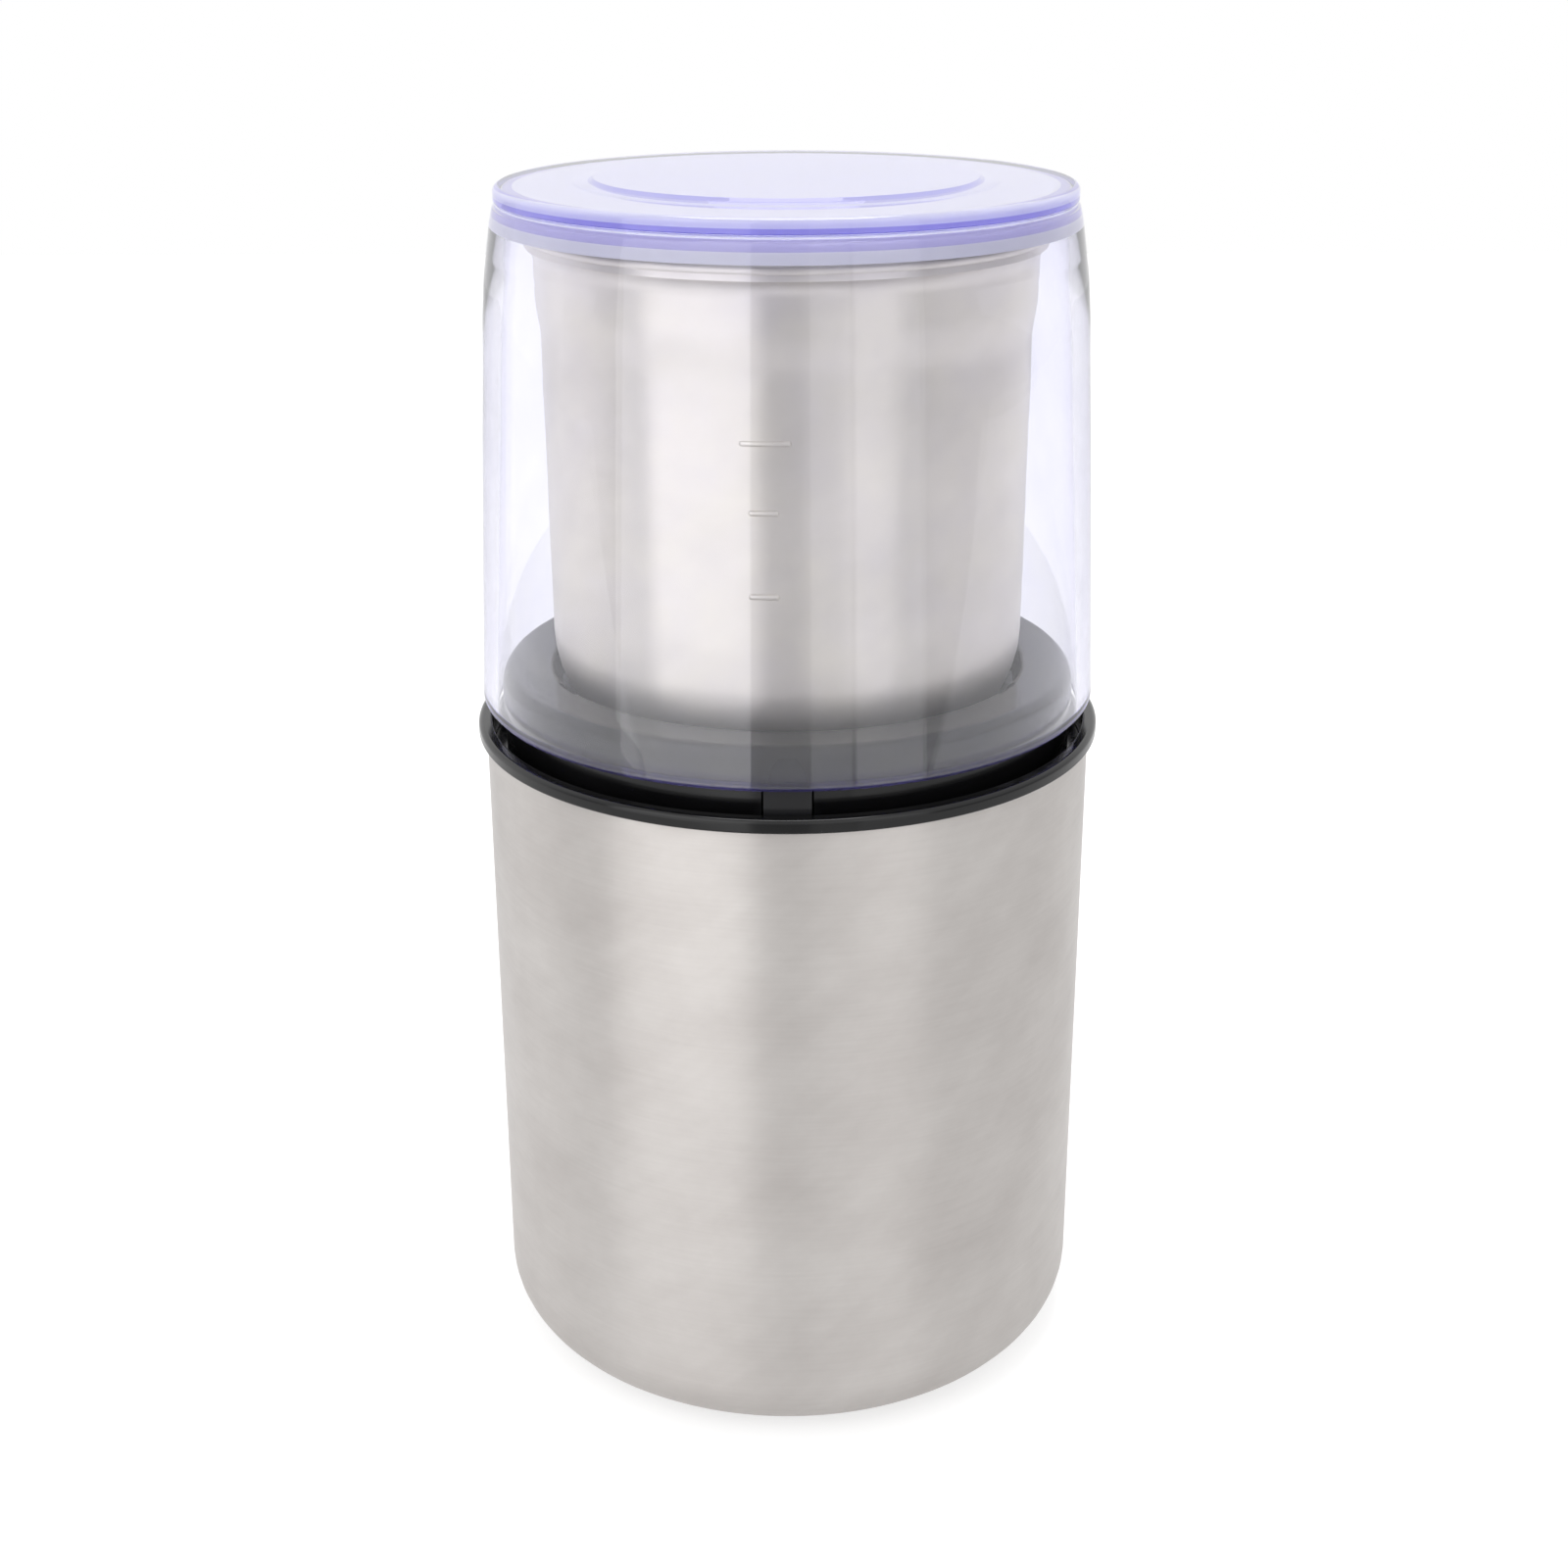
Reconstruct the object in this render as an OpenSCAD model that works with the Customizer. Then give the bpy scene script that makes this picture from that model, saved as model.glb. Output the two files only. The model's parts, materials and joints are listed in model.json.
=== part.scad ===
// Electric spice grinder: a steel-sleeved motor base, a lift-out steel grinding
// cup with its own cutter, and a clear lid that switches the motor on while it
// is pressed down. Millimetres, +Z up, front towards -Y, origin on the table
// under the grinder's axis.

/* [Base] */
// Outer radius of the steel sleeve at its upper edge
sleeve_r = 50.2; // [50.1:0.05:50.3]
// How much wider the sleeve is just above its foot
sleeve_flare = 0.3; // [0:0.05:0.4]
// Height of the sleeve's upper edge
sleeve_top = 110.4; // [110.2:0.1:110.6]
// Radius of the curve at the foot of the sleeve
sleeve_foot_curve = 10; // [9:0.5:12]
// Thickness of the sleeve's sheet steel
sleeve_wall = 0.5; // [0.4:0.05:0.5]
// Outer radius of the black trim ring
ring_r = 51.5; // [51.2:0.1:52]
// Height of the trim ring's upper face
ring_top = 112.7; // [112.3:0.1:112.9]
// Radius of the hole for the cord in the gland
cord_hole_r = 3.3; // [2.5:0.1:3.5]

/* [Seat] */
// Outer radius of the collar that stands inside the lid
collar_r = 47; // [46.9:0.05:47.1]
// Height of the collar's upper face
collar_top = 122.6; // [122.2:0.1:123]
// Radius of the bowl that takes the cup
bowl_r = 38.4; // [38.3:0.05:38.5]
// Number of key slots, push posts and springs around the seat
seat_fold = 3; // [2:1:4]

/* [Cup] */
// Outer radius of the cup's side just above its bottom curve
cup_r = 38.3; // [38:0.05:38.3]
// Height of the cup's bottom above the table
cup_bottom = 109.5; // [109.1:0.1:109.9]
// Height of the cup's rim above the table
cup_rim = 191.2; // [190:0.1:191.4]
// Thickness of the cup's sheet steel
cup_wall = 0.6; // [0.5:0.1:0.7]

/* [Lid] */
// Outer radius of the lid at its open edge
lid_edge_r = 50.4; // [50.2:0.05:50.7]
// Height of the lid's open edge above the table, not pressed
lid_edge = 116.6; // [116.5:0.1:116.8]
// Height of the lid's flat top above the table, not pressed
lid_top = 198.2; // [198:0.1:199]
// Outer radius of the lid's top flange
lid_flange_r = 45.05; // [44.8:0.05:45.2]

/* [Drive] */
// Radius of the motor and blade shafts
shaft_r = 3; // [2.6:0.1:3.2]
// Radial gap of each shaft in its bush
running_gap = 0.03; // [0.02:0.01:0.06]
// Radius that the blade's tips sweep
blade_reach = 31.5; // [28:0.5:31.5]
// Teeth on each half of the coupling
coupling_teeth = 4; // [3:1:4]
// Slots in the armature core
armature_slots = 12; // [8:1:12]
// Blades on the cooling fan
fan_blades = 11; // [7:1:13]

/* [Hidden] */
$fn = 96;
eps = 0.01;
cut = 1;

// Directions around the seat, in degrees: posts, key slots, screws and springs
post_angles = [for (i = [0:seat_fold - 1]) 270 + i * 360 / seat_fold];
key_angles = [for (i = [0:seat_fold - 1]) 90 + i * 360 / seat_fold];
screw_angles = [for (i = [0:seat_fold - 1]) 60 + i * 360 / seat_fold];
spring_angles = [for (i = [0:seat_fold - 1]) i * 360 / seat_fold];
quarter_angles = [0, 90, 180, 270];
corner_angles = [45, 135, 225, 315];

// Sleeve
sleeve_bottom = 1;
sleeve_in = sleeve_r - sleeve_wall;
lip_r = 34;
lip_z = 3.2;
lip_step_r = 37.2;

// Liner inside the sleeve
liner_r = 49.6;
liner_in = 47.6;
liner_bottom = 12.5;
liner_flange_top = 14.5;
liner_flange_in = 26;
liner_top = 105.5;
shelf_in = 37;
shelf_bottom = 85.5;
shelf_top = 87.5;
base_boss_at = 29.5;
base_boss_bottom = 4.3;

// Base cover and feet
cover_r = 37;
cover_bottom = 1.2;
cover_floor = 3.2;
cover_wall_r = 33.5;
cover_wall_in = 31.5;
cover_wall_top = 10;
foot_at = 29;
foot_r = 4.5;
foot_seat = 2;
cord_z = 24;

// Seat collar
groove_floor = 107.5;
groove_under = 105.5;
flange_r = 49.1;
collar_in = 45;
collar_under = 120.4;
bowl_out = 40.9;
bowl_floor = 98.5;
bowl_under = 96;
bowl_hole_r = 13;
key_w = 5;
key_slot_w = 6;
key_slot_r = 39.9;
collar_screw_at = 41.1;
motor_screw_at = 27;
motor_boss_bottom = 92.5;

// Push ring, springs and switch
post_angle = 8.4;
post_opening_w = 7.8;
post_in = 44.6;
post_out = 46.9;
lug_out = 48.95;
lug_h = 5;
push_in = 43.8;
push_bottom = 102.1;
push_top = 105.2;
spring_at = 45.35;
spring_wire_r = 0.3;
spring_coil_r = 1.2;
spring_turns = 8;
trigger_x = 5;
trigger_y = 43.1;
trigger_bottom = 84.4;
switch_y = 42.6;
switch_bottom = 67.5;
switch_top = 77.5;
pivot_x = -8;
pivot_z = 79.7;
lever_rise = 17.6;
lever_reach = 14.5;
button_x = -4.7;

// Motor
stack_bottom = 47.5;
stack_top = 77.5;
bore_r = 16.2;
armature_r = 15.6;
leg_at = 27;
leg_r = 3.5;
plate_bottom = 88.5;
plate_top = 91;
bracket_bottom = 25.5;
bracket_top = 28;
coil_in = 17.5;
coil_out = 23;
coil_end = 6;
commutator_r = 9.5;
brush_z = 34.5;

// Coupling and cutter
coupling_r = 10;
shaft_bottom = 12;
shaft_top = 100.9;
drive_hub_bottom = 94.1;
drive_disc = 99.1;
drive_face = 101.1;
drive_tooth_top = 104.5;
driven_tooth_bottom = 101.9;
driven_face = 104.9;
driven_disc = 106.9;
tooth_in = 5;
tooth_out = 9.6;
tooth_angle = 38;
bush_r = 6;
hub_r = 8.5;
hub_nut_bottom = 110.9;
seal_bottom = 115.5;
seal_top = 117;
blade_shaft_bottom = 102.5;
blade_shaft_top = 124;
hub_top = 117.5;
blade_z = 118.5;
blade_t = 1.5;
blade_root = 9;

// Points of an arc from angle a0 to a1 around [x, y]
function arc(x, y, r, a0, a1, steps = 6) =
    [for (i = [0:steps]) let (a = a0 + (a1 - a0) * i / steps) [x + r * cos(a), y + r * sin(a)]];

// A tube between two radii and two heights
module tube(r_in, r_out, z0, z1) {
    translate([0, 0, z0])
        difference() {
            cylinder(r = r_out, h = z1 - z0);
            translate([0, 0, -cut])
                cylinder(r = r_in, h = z1 - z0 + 2 * cut);
        }
}

// A disc between two heights
module disc(r, z0, z1) {
    translate([0, 0, z0])
        cylinder(r = r, h = z1 - z0);
}

// Places its children at a distance from the axis in each direction
module around(angles, at = 0) {
    for (a = angles)
        rotate([0, 0, a])
            translate([at, 0, 0])
                children();
}

// The part of a tube that lies within a bar of width w along +X
module tube_bar(r_in, r_out, z0, z1, w) {
    intersection() {
        tube(r_in, r_out, z0, z1);
        translate([0, -w / 2, z0])
            cube([r_out + cut, w, z1 - z0]);
    }
}

// A coil spring along +Z: a round wire swept along a helix
module coil_spring(coil_r, wire_r, turns, height) {
    sides = 6;
    steps = 12 * turns;
    rise = height - 2 * wire_r;
    points = [for (i = [0:steps], k = [0:sides - 1])
        let (a = 360 * turns * i / steps, b = 360 * k / sides, r = coil_r + wire_r * cos(b))
        [r * cos(a), r * sin(a), wire_r + rise * i / steps + wire_r * sin(b)]];
    walls = [for (i = [0:steps - 1], k = [0:sides - 1], half = [0, 1])
        let (n = (k + 1) % sides, j = i * sides)
        half == 0 ? [j + k, j + n, j + sides + n] : [j + k, j + sides + n, j + sides + k]];
    first_end = [for (k = [sides - 1:-1:0]) k];
    last_end = [for (k = [0:sides - 1]) steps * sides + k];
    polyhedron(points = points, faces = concat(walls, [first_end, last_end]), convexity = 8);
}

// ---- Base: housing ----

module outer_sleeve() {
    foot_x = sleeve_r + sleeve_flare - sleeve_foot_curve;
    foot_y = sleeve_bottom + sleeve_foot_curve;
    outer = arc(foot_x, foot_y, sleeve_foot_curve, -90, 0, 12);
    inner = arc(foot_x, foot_y, sleeve_foot_curve - sleeve_wall, 0, -90, 12);
    color("#c6c3bf")
        difference() {
            rotate_extrude()
                polygon(concat(
                    [[lip_r, lip_z], [lip_step_r, lip_z], [lip_step_r + 0.6, sleeve_bottom]],
                    outer,
                    [[sleeve_r, sleeve_top], [sleeve_in, sleeve_top]],
                    inner,
                    [[lip_step_r + 1, sleeve_bottom + sleeve_wall],
                     [lip_step_r + 0.3, lip_z + sleeve_wall], [lip_r, lip_z + sleeve_wall]]));
            translate([0, sleeve_r - 5, cord_z])
                rotate([-90, 0, 0])
                    cylinder(r = 5.2, h = 10);
        }
}

module trim_ring() {
    edge = 0.9;
    ring_under = sleeve_top + 0.05;
    ring_in = 49.2;
    color("#151517")
        rotate_extrude()
            polygon(concat(
                [[ring_in, groove_floor + 0.1], [sleeve_in - 0.05, groove_floor + 0.1],
                 [sleeve_in - 0.05, ring_under], [ring_r - 0.3, ring_under], [ring_r, ring_under + 0.3]],
                arc(ring_r - edge, ring_top - edge, edge, 0, 90),
                arc(ring_in + 0.4, ring_top - 0.4, 0.4, 90, 180, 3)));
}

module collar_profile() {
    edge = 1.6;
    mouth = 1.4;
    polygon(concat(
        [[bowl_hole_r, bowl_under], [bowl_out, bowl_under], [bowl_out, collar_under],
         [collar_in, collar_under], [collar_in, groove_under], [flange_r, groove_under],
         [flange_r, groove_floor], [collar_r, groove_floor]],
        arc(collar_r - edge, collar_top - edge, edge, 0, 90),
        arc(bowl_r + mouth, collar_top - mouth, mouth, 90, 180),
        [[bowl_r, bowl_floor], [bowl_hole_r, bowl_floor]]));
}

module seat_collar() {
    color("#1a1a1c")
        difference() {
            union() {
                rotate_extrude()
                    collar_profile();
                around(screw_angles, collar_screw_at)
                    disc(2.3, shelf_top, collar_under + 0.5);
                around(quarter_angles, motor_screw_at)
                    disc(4, motor_boss_bottom, bowl_under + 0.5);
            }
            // Openings that the push posts rise through
            around(post_angles)
                translate([collar_in - 2, -post_opening_w / 2, groove_under - cut])
                    cube([flange_r - collar_in + 4, post_opening_w, lid_edge + 0.6 - groove_under + cut]);
            // Upright slots that the cup's keys slide down
            around(key_angles)
                tube_bar(bowl_r - 2, key_slot_r, bowl_floor, collar_top + cut, key_slot_w);
            around(screw_angles, collar_screw_at)
                disc(1.1, shelf_top - cut, bowl_floor + 5);
            around(quarter_angles, motor_screw_at)
                disc(1.3, motor_boss_bottom - cut, bowl_floor - 0.8);
        }
}

module housing_liner() {
    switch_plate_y = 37.2;
    color("#2a2a2c")
        difference() {
            union() {
                tube(liner_in, liner_r, liner_bottom, liner_top);
                tube(liner_flange_in, liner_r, liner_bottom, liner_flange_top);
                tube(shelf_in, liner_r, shelf_bottom, shelf_top);
                around(quarter_angles, base_boss_at)
                    disc(3.6, base_boss_bottom, liner_flange_top);
                around(spring_angles, spring_at)
                    disc(0.75, shelf_top - eps, shelf_top + 3);
                // Plate and pins that hold the switch behind the motor
                translate([-11, switch_plate_y, switch_bottom - 2])
                    cube([22, 2, shelf_bottom - switch_bottom + 2 + eps]);
                for (x = [-5, 5])
                    translate([x, switch_plate_y + 1, switch_bottom + 3])
                        rotate([-90, 0, 0])
                            cylinder(r = 1.2, h = 8);
            }
            around(quarter_angles, base_boss_at)
                disc(1.2, base_boss_bottom - cut, liner_flange_top - 1);
            around(screw_angles, collar_screw_at)
                disc(1.7, shelf_bottom - cut, shelf_top + cut);
            // Window for the trigger arm
            translate([trigger_x - 3.5, trigger_y - 2.3, shelf_bottom - cut])
                cube([7, 4.4, 4]);
            // Air slots in the bottom flange
            around([for (i = [0:15]) 11.25 + 22.5 * i])
                translate([34.5, -1.5, liner_bottom - cut])
                    cube([10, 3, 4]);
            translate([0, liner_in - 4, cord_z])
                rotate([-90, 0, 0])
                    cylinder(r = 5.1, h = 8);
        }
}

module base_cover() {
    color("#202022")
        difference() {
            union() {
                disc(cover_r, cover_bottom, cover_floor);
                tube(cover_wall_in, cover_wall_r, cover_floor - eps, cover_wall_top);
                around(quarter_angles, base_boss_at)
                    disc(4.5, cover_bottom, base_boss_bottom - 0.1);
            }
            around(quarter_angles, base_boss_at) {
                disc(1.7, cover_bottom - cut, 10);
                disc(3.2, cover_bottom - cut, 2.6);
                disc(3.8, base_boss_bottom - 0.1, cover_wall_top + cut);
            }
            around(corner_angles, foot_at) {
                disc(foot_r, cover_bottom - cut, foot_seat);
                disc(1.6, cover_bottom, 10);
            }
            // Air slots in rings around the centre
            for (row = [0:2])
                around([for (i = [0:5]) 60 * i + 30 * (row % 2)])
                    rotate([0, 0, -20])
                        translate([0, 0, cover_bottom - cut])
                            rotate_extrude(angle = 40)
                                translate([9 + 4.5 * row, 0])
                                    square([2, 5]);
        }
}

module rubber_feet() {
    peg_top = 4.6;
    color("#3a3a3c")
        around(corner_angles, foot_at)
            rotate_extrude()
                polygon([[0, 0], [foot_r - 0.9, 0], [foot_r - 0.3, 0.5], [foot_r - 0.1, foot_seat],
                    [1.5, foot_seat], [1.5, cover_floor + 0.1], [2.2, cover_floor + 0.3],
                    [1.2, peg_top], [0, peg_top]]);
}

// A pan-head screw standing on its head, shank along +Z
module pan_screw(head_r, head_h, thread_r, length) {
    difference() {
        union() {
            rotate_extrude()
                polygon(concat([[0, 0]], arc(head_r - 0.6, 0.6, 0.6, -90, 0, 4), [[head_r, head_h], [0, head_h]]));
            cylinder(r = thread_r, h = head_h + length);
        }
        for (a = [0, 90])
            rotate([0, 0, a])
                translate([-head_r * 0.55, -0.35, -cut])
                    cube([head_r * 1.1, 0.7, cut + head_h * 0.5]);
    }
}

module base_screws() {
    color("#b9b9bb")
        around(quarter_angles, base_boss_at)
            translate([0, 0, 1.4])
                pan_screw(2.9, 1.2, 1.15, 10);
}

module collar_screws() {
    color("#b9b9bb")
        around(screw_angles, collar_screw_at)
            translate([0, 0, shelf_bottom - 2])
                pan_screw(2.8, 2, 1.05, 16);
}

module cord_gland() {
    color("#18181a")
        difference() {
            union() {
                intersection() {
                    tube(sleeve_r + sleeve_flare + 0.02, ring_r - 0.2, cord_z - 8, cord_z + 8);
                    translate([0, 40, cord_z])
                        rotate([-90, 0, 0])
                            cylinder(r = 7.2, h = 20);
                }
                translate([0, 43.5, cord_z])
                    rotate([-90, 0, 0])
                        cylinder(r = 5, h = 7.4);
                translate([0, 43.5, cord_z])
                    rotate([-90, 0, 0])
                        cylinder(r = 6.6, h = 3.2);
            }
            translate([0, 40, cord_z])
                rotate([-90, 0, 0])
                    cylinder(r = cord_hole_r, h = 20);
        }
}

// ---- Base: motor ----

module motor_plate() {
    color("#a9abae")
        difference() {
            union() {
                disc(33, plate_bottom, plate_top);
                disc(9, plate_bottom - 3, plate_top + 1.5);
                around(corner_angles, leg_at)
                    disc(leg_r, stack_top, plate_top);
            }
            disc(bush_r, plate_bottom - 3 - cut, plate_top + 1.5 + cut);
            around(quarter_angles, motor_screw_at)
                disc(4.2, plate_bottom - cut, plate_top + cut);
            around(corner_angles, leg_at)
                disc(1.6, stack_top - cut, plate_top - 1);
            // Air windows between the legs
            around(quarter_angles, 16)
                disc(4.5, plate_bottom - cut, plate_top + cut);
        }
}

module motor_mounts() {
    color("#303032")
        around(quarter_angles, motor_screw_at)
            difference() {
                union() {
                    disc(6, plate_top, motor_boss_bottom);
                    disc(4.2, plate_bottom, plate_top);
                    disc(6, plate_bottom - 1.5, plate_bottom);
                }
                disc(1.6, plate_bottom - 2, motor_boss_bottom + cut);
            }
}

module motor_screws() {
    color("#b9b9bb")
        around(quarter_angles, motor_screw_at)
            translate([0, 0, plate_bottom - 3.5])
                pan_screw(3.6, 2, 1.25, 10);
}

// A sintered bush with a running fit on its shaft
module bush(z0, z1) {
    color("#b08d57")
        tube(shaft_r + running_gap, bush_r, z0, z1);
}

module upper_bearing() {
    bush(plate_bottom - 2.6, plate_top + 1.1);
}

module lower_bearing() {
    bush(bracket_bottom - 1.4, bracket_top + 0.9);
}

module lower_bracket() {
    color("#a9abae")
        difference() {
            union() {
                disc(9, bracket_bottom - 1.4, bracket_top + 0.9);
                tube(27, 31.5, bracket_bottom, bracket_top);
                around(corner_angles, leg_at)
                    disc(leg_r, bracket_bottom + 1, stack_bottom);
                for (a = [0, 90])
                    rotate([0, 0, a])
                        translate([-28, -4.5, bracket_bottom])
                            cube([56, 9, bracket_top - bracket_bottom]);
                // Pads that carry the brush holders
                for (a = [0, 180])
                    rotate([0, 0, a])
                        translate([12.5, -4, bracket_bottom + 1])
                            cube([11, 8, brush_z - 4.6 - bracket_bottom - 1]);
            }
            disc(bush_r, bracket_bottom - 8, bracket_top + 8);
            around(corner_angles, leg_at)
                disc(1.9, bracket_bottom - cut, stack_bottom + cut);
        }
}

module stator_plan() {
    difference() {
        intersection() {
            square([62, 54], center = true);
            circle(r = 32);
        }
        circle(r = bore_r);
        for (a = [0, 180])
            rotate([0, 0, a]) {
                polygon(concat(
                    arc(0, 0, coil_out + 0.4, -38, 38, 8),
                    arc(0, 0, coil_in - 0.4, 38, -38, 8)));
                translate([bore_r - 2, -3])
                    square([4, 6]);
            }
    }
}

module stator_core() {
    color("#7d8087")
        difference() {
            translate([0, 0, stack_bottom])
                linear_extrude(height = stack_top - stack_bottom)
                    stator_plan();
            around(corner_angles, leg_at)
                disc(1.9, stack_bottom - cut, stack_top + cut);
        }
}

// A sector of a coil between two angles and two heights
module coil_sector(a0, a1, z0, z1) {
    corner = 1.2;
    rotate([0, 0, a0])
        translate([0, 0, z0])
            rotate_extrude(angle = a1 - a0)
                polygon(concat(
                    arc(coil_out - corner, z1 - z0 - corner, corner, 0, 90, 3),
                    arc(coil_in + corner, z1 - z0 - corner, corner, 90, 180, 3),
                    arc(coil_in + corner, corner, corner, 180, 270, 3),
                    arc(coil_out - corner, corner, corner, 270, 360, 3)));
}

module stator_coils() {
    side = 28;
    gap = 6;
    color("#b4622d")
        for (a = [0, 180])
            rotate([0, 0, a]) {
                coil_sector(gap, 180 - gap, stack_top + 0.2, stack_top + 0.2 + coil_end);
                coil_sector(gap, 180 - gap, stack_bottom - 0.2 - coil_end, stack_bottom - 0.2);
                coil_sector(gap, gap + side, stack_bottom - 2, stack_top + 2);
                coil_sector(180 - gap - side, 180 - gap, stack_bottom - 2, stack_top + 2);
            }
}

module stator_bolts() {
    color("#8f9195")
        around([45, 225], leg_at)
            translate([0, 0, bracket_bottom - 2.5])
                pan_screw(3.4, 2.5, 1.5, 60);
}

module brush_holders() {
    color("#c9a04a")
        for (a = [0, 180])
            rotate([0, 0, a])
                difference() {
                    translate([11.5, -3.6, brush_z - 4.6])
                        cube([14, 7.2, 9.2]);
                    translate([11.5 - cut, -2.6, brush_z - 3.6])
                        cube([13.1 + cut, 5.2, 7.2]);
                }
}

module carbon_brushes() {
    color("#2b2b2b")
        for (a = [0, 180])
            rotate([0, 0, a])
                difference() {
                    translate([commutator_r - 1, -2.5, brush_z - 3.5])
                        cube([10, 5, 7]);
                    disc(commutator_r + 0.05, brush_z - 8, brush_z + 8);
                }
}

module brush_springs() {
    start = commutator_r + 9.1;
    color("#d0d0d2")
        for (a = [0, 180])
            rotate([0, 0, a])
                translate([start, 0, brush_z])
                    rotate([0, 90, 0])
                        coil_spring(1.7, 0.25, 5, 24.4 - start);
}

// ---- Base: switch ----

module switch_body() {
    color("#3b3f45")
        difference() {
            union() {
                translate([-10, switch_y - 3.2, switch_bottom])
                    cube([20, 6.4, switch_top - switch_bottom]);
                for (y = [switch_y - 3.2, switch_y + 2.4])
                    translate([pivot_x - 1.5, y, switch_top - eps])
                        cube([3, 0.8, pivot_z + 1.3 - switch_top]);
            }
            translate([pivot_x, switch_y - 5, pivot_z])
                rotate([-90, 0, 0])
                    cylinder(r = 0.55, h = 10);
            for (x = [-5, 5])
                translate([x, switch_y - 5, switch_bottom + 3])
                    rotate([-90, 0, 0])
                        cylinder(r = 1.25, h = 10);
            translate([button_x, switch_y, switch_top - 2.5])
                cylinder(r = 1.3, h = 5);
        }
    // Three flat terminals underneath
    color("#c9a04a")
        for (x = [-7, 0, 7])
            translate([x - 0.4, switch_y - 1.6, switch_bottom - 4.5])
                cube([0.8, 3.2, 4.6]);
}

module switch_lever() {
    color("#d3d4d6")
        translate([pivot_x, switch_y, pivot_z])
            rotate([0, -lever_rise, 0]) {
                translate([0, -2.1, -0.25])
                    cube([lever_reach, 4.2, 0.5]);
                translate([0, -2.1, 0])
                    rotate([-90, 0, 0])
                        cylinder(r = 0.9, h = 4.2);
                translate([0, -3.2, 0])
                    rotate([-90, 0, 0])
                        cylinder(r = 0.5, h = 6.4);
            }
}

module switch_button() {
    color("#c23b2e")
        translate([button_x, switch_y, switch_top - 1])
            rotate_extrude()
                polygon(concat([[0, 0], [1.2, 0]], arc(0.7, 3.2, 0.5, 0, 90, 3), [[0, 3.7]]));
}

// ---- Push ring under the lid ----

module push_ring() {
    color("#1f1f21") {
        tube(push_in, post_out - 0.1, push_bottom, push_top);
        around(post_angles)
            rotate([0, 0, -post_angle / 2])
                rotate_extrude(angle = post_angle)
                    polygon([[post_in, push_bottom + 1], [post_out, push_bottom + 1],
                        [post_out, lid_edge - lug_h], [lug_out, lid_edge - lug_h],
                        [lug_out, lid_edge - 0.2], [lug_out - 0.2, lid_edge], [post_in, lid_edge]]);
        around(spring_angles, spring_at)
            disc(0.75, push_bottom - 2.5, push_bottom + eps);
        translate([trigger_x - 2.5, trigger_y - 1.5, trigger_bottom])
            cube([5, 3, push_top - 1 - trigger_bottom]);
    }
}

module push_springs() {
    gap = 0.05;
    color("#d0d0d2")
        around(spring_angles, spring_at)
            translate([0, 0, shelf_top + gap])
                coil_spring(spring_coil_r, spring_wire_r, spring_turns, push_bottom - shelf_top - 2 * gap);
}

// ---- Rotor ----

module motor_shaft() {
    color("#c8cacc")
        disc(shaft_r, shaft_bottom, shaft_top);
}

module armature_core() {
    slot_r = 1.6;
    slot_at = 12.8;
    color("#6f7278")
        difference() {
            disc(armature_r, stack_bottom, stack_top);
            disc(shaft_r, stack_bottom - cut, stack_top + cut);
            around([for (i = [0:armature_slots - 1]) i * 360 / armature_slots], slot_at) {
                disc(slot_r, stack_bottom - cut, stack_top + cut);
                translate([0, -0.6, stack_bottom - cut])
                    cube([5, 1.2, stack_top - stack_bottom + 2 * cut]);
            }
        }
}

module armature_winding() {
    wire_r = 1.4;
    wire_at = 12.8;
    end_r = 14.7;
    corner = 2.4;
    color("#b8682f") {
        for (z = [stack_bottom - 5.6, stack_top + 0.1])
            translate([0, 0, z])
                rotate_extrude()
                    polygon(concat(
                        [[shaft_r + 1.2, 0]],
                        arc(end_r - corner, corner, corner, -90, 0, 4),
                        arc(end_r - corner, 5.5 - corner, corner, 0, 90, 4),
                        [[shaft_r + 1.2, 5.5]]));
        around([for (i = [0:armature_slots - 1]) i * 360 / armature_slots], wire_at)
            disc(wire_r, stack_bottom - 2.5, stack_top + 2.5);
    }
}

module commutator() {
    bars = 24;
    color("#c07a3e")
        difference() {
            tube(shaft_r, commutator_r, brush_z - 4.5, brush_z + 5.5);
            around([for (i = [0:bars - 1]) i * 360 / bars])
                translate([commutator_r - 0.8, -0.2, brush_z - 5])
                    cube([2, 0.4, 9]);
        }
}

module cooling_fan() {
    fan_r = 22;
    fan_z = 15.7;
    blade_top = 22.5;
    sweep_r = 15;
    color("#3c3c3f")
        difference() {
            union() {
                disc(fan_r, fan_z, fan_z + 1.4);
                disc(6, fan_z, blade_top);
                // Blades that curve back from the hub to the rim
                intersection() {
                    disc(fan_r, fan_z, blade_top);
                    around([for (i = [0:fan_blades - 1]) i * 360 / fan_blades])
                        translate([fan_r * 0.62, -sweep_r * 0.8, 0])
                            intersection() {
                                tube(sweep_r - 0.6, sweep_r + 0.6, fan_z, blade_top);
                                translate([-12, 4, fan_z])
                                    cube([24, 14, blade_top - fan_z]);
                            }
                }
            }
            disc(shaft_r, fan_z - cut, blade_top + cut);
        }
}

// Teeth of one coupling half, centred on each of its directions
module coupling_ring(first_angle, z0, z1) {
    around([for (i = [0:coupling_teeth - 1]) first_angle + i * 360 / coupling_teeth])
        rotate([0, 0, -tooth_angle / 2])
            translate([0, 0, z0])
                rotate_extrude(angle = tooth_angle)
                    polygon([[tooth_in, 0], [tooth_out, 0], [tooth_out, z1 - z0 - 0.6],
                        [tooth_out - 0.6, z1 - z0], [tooth_in, z1 - z0]]);
}

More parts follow.
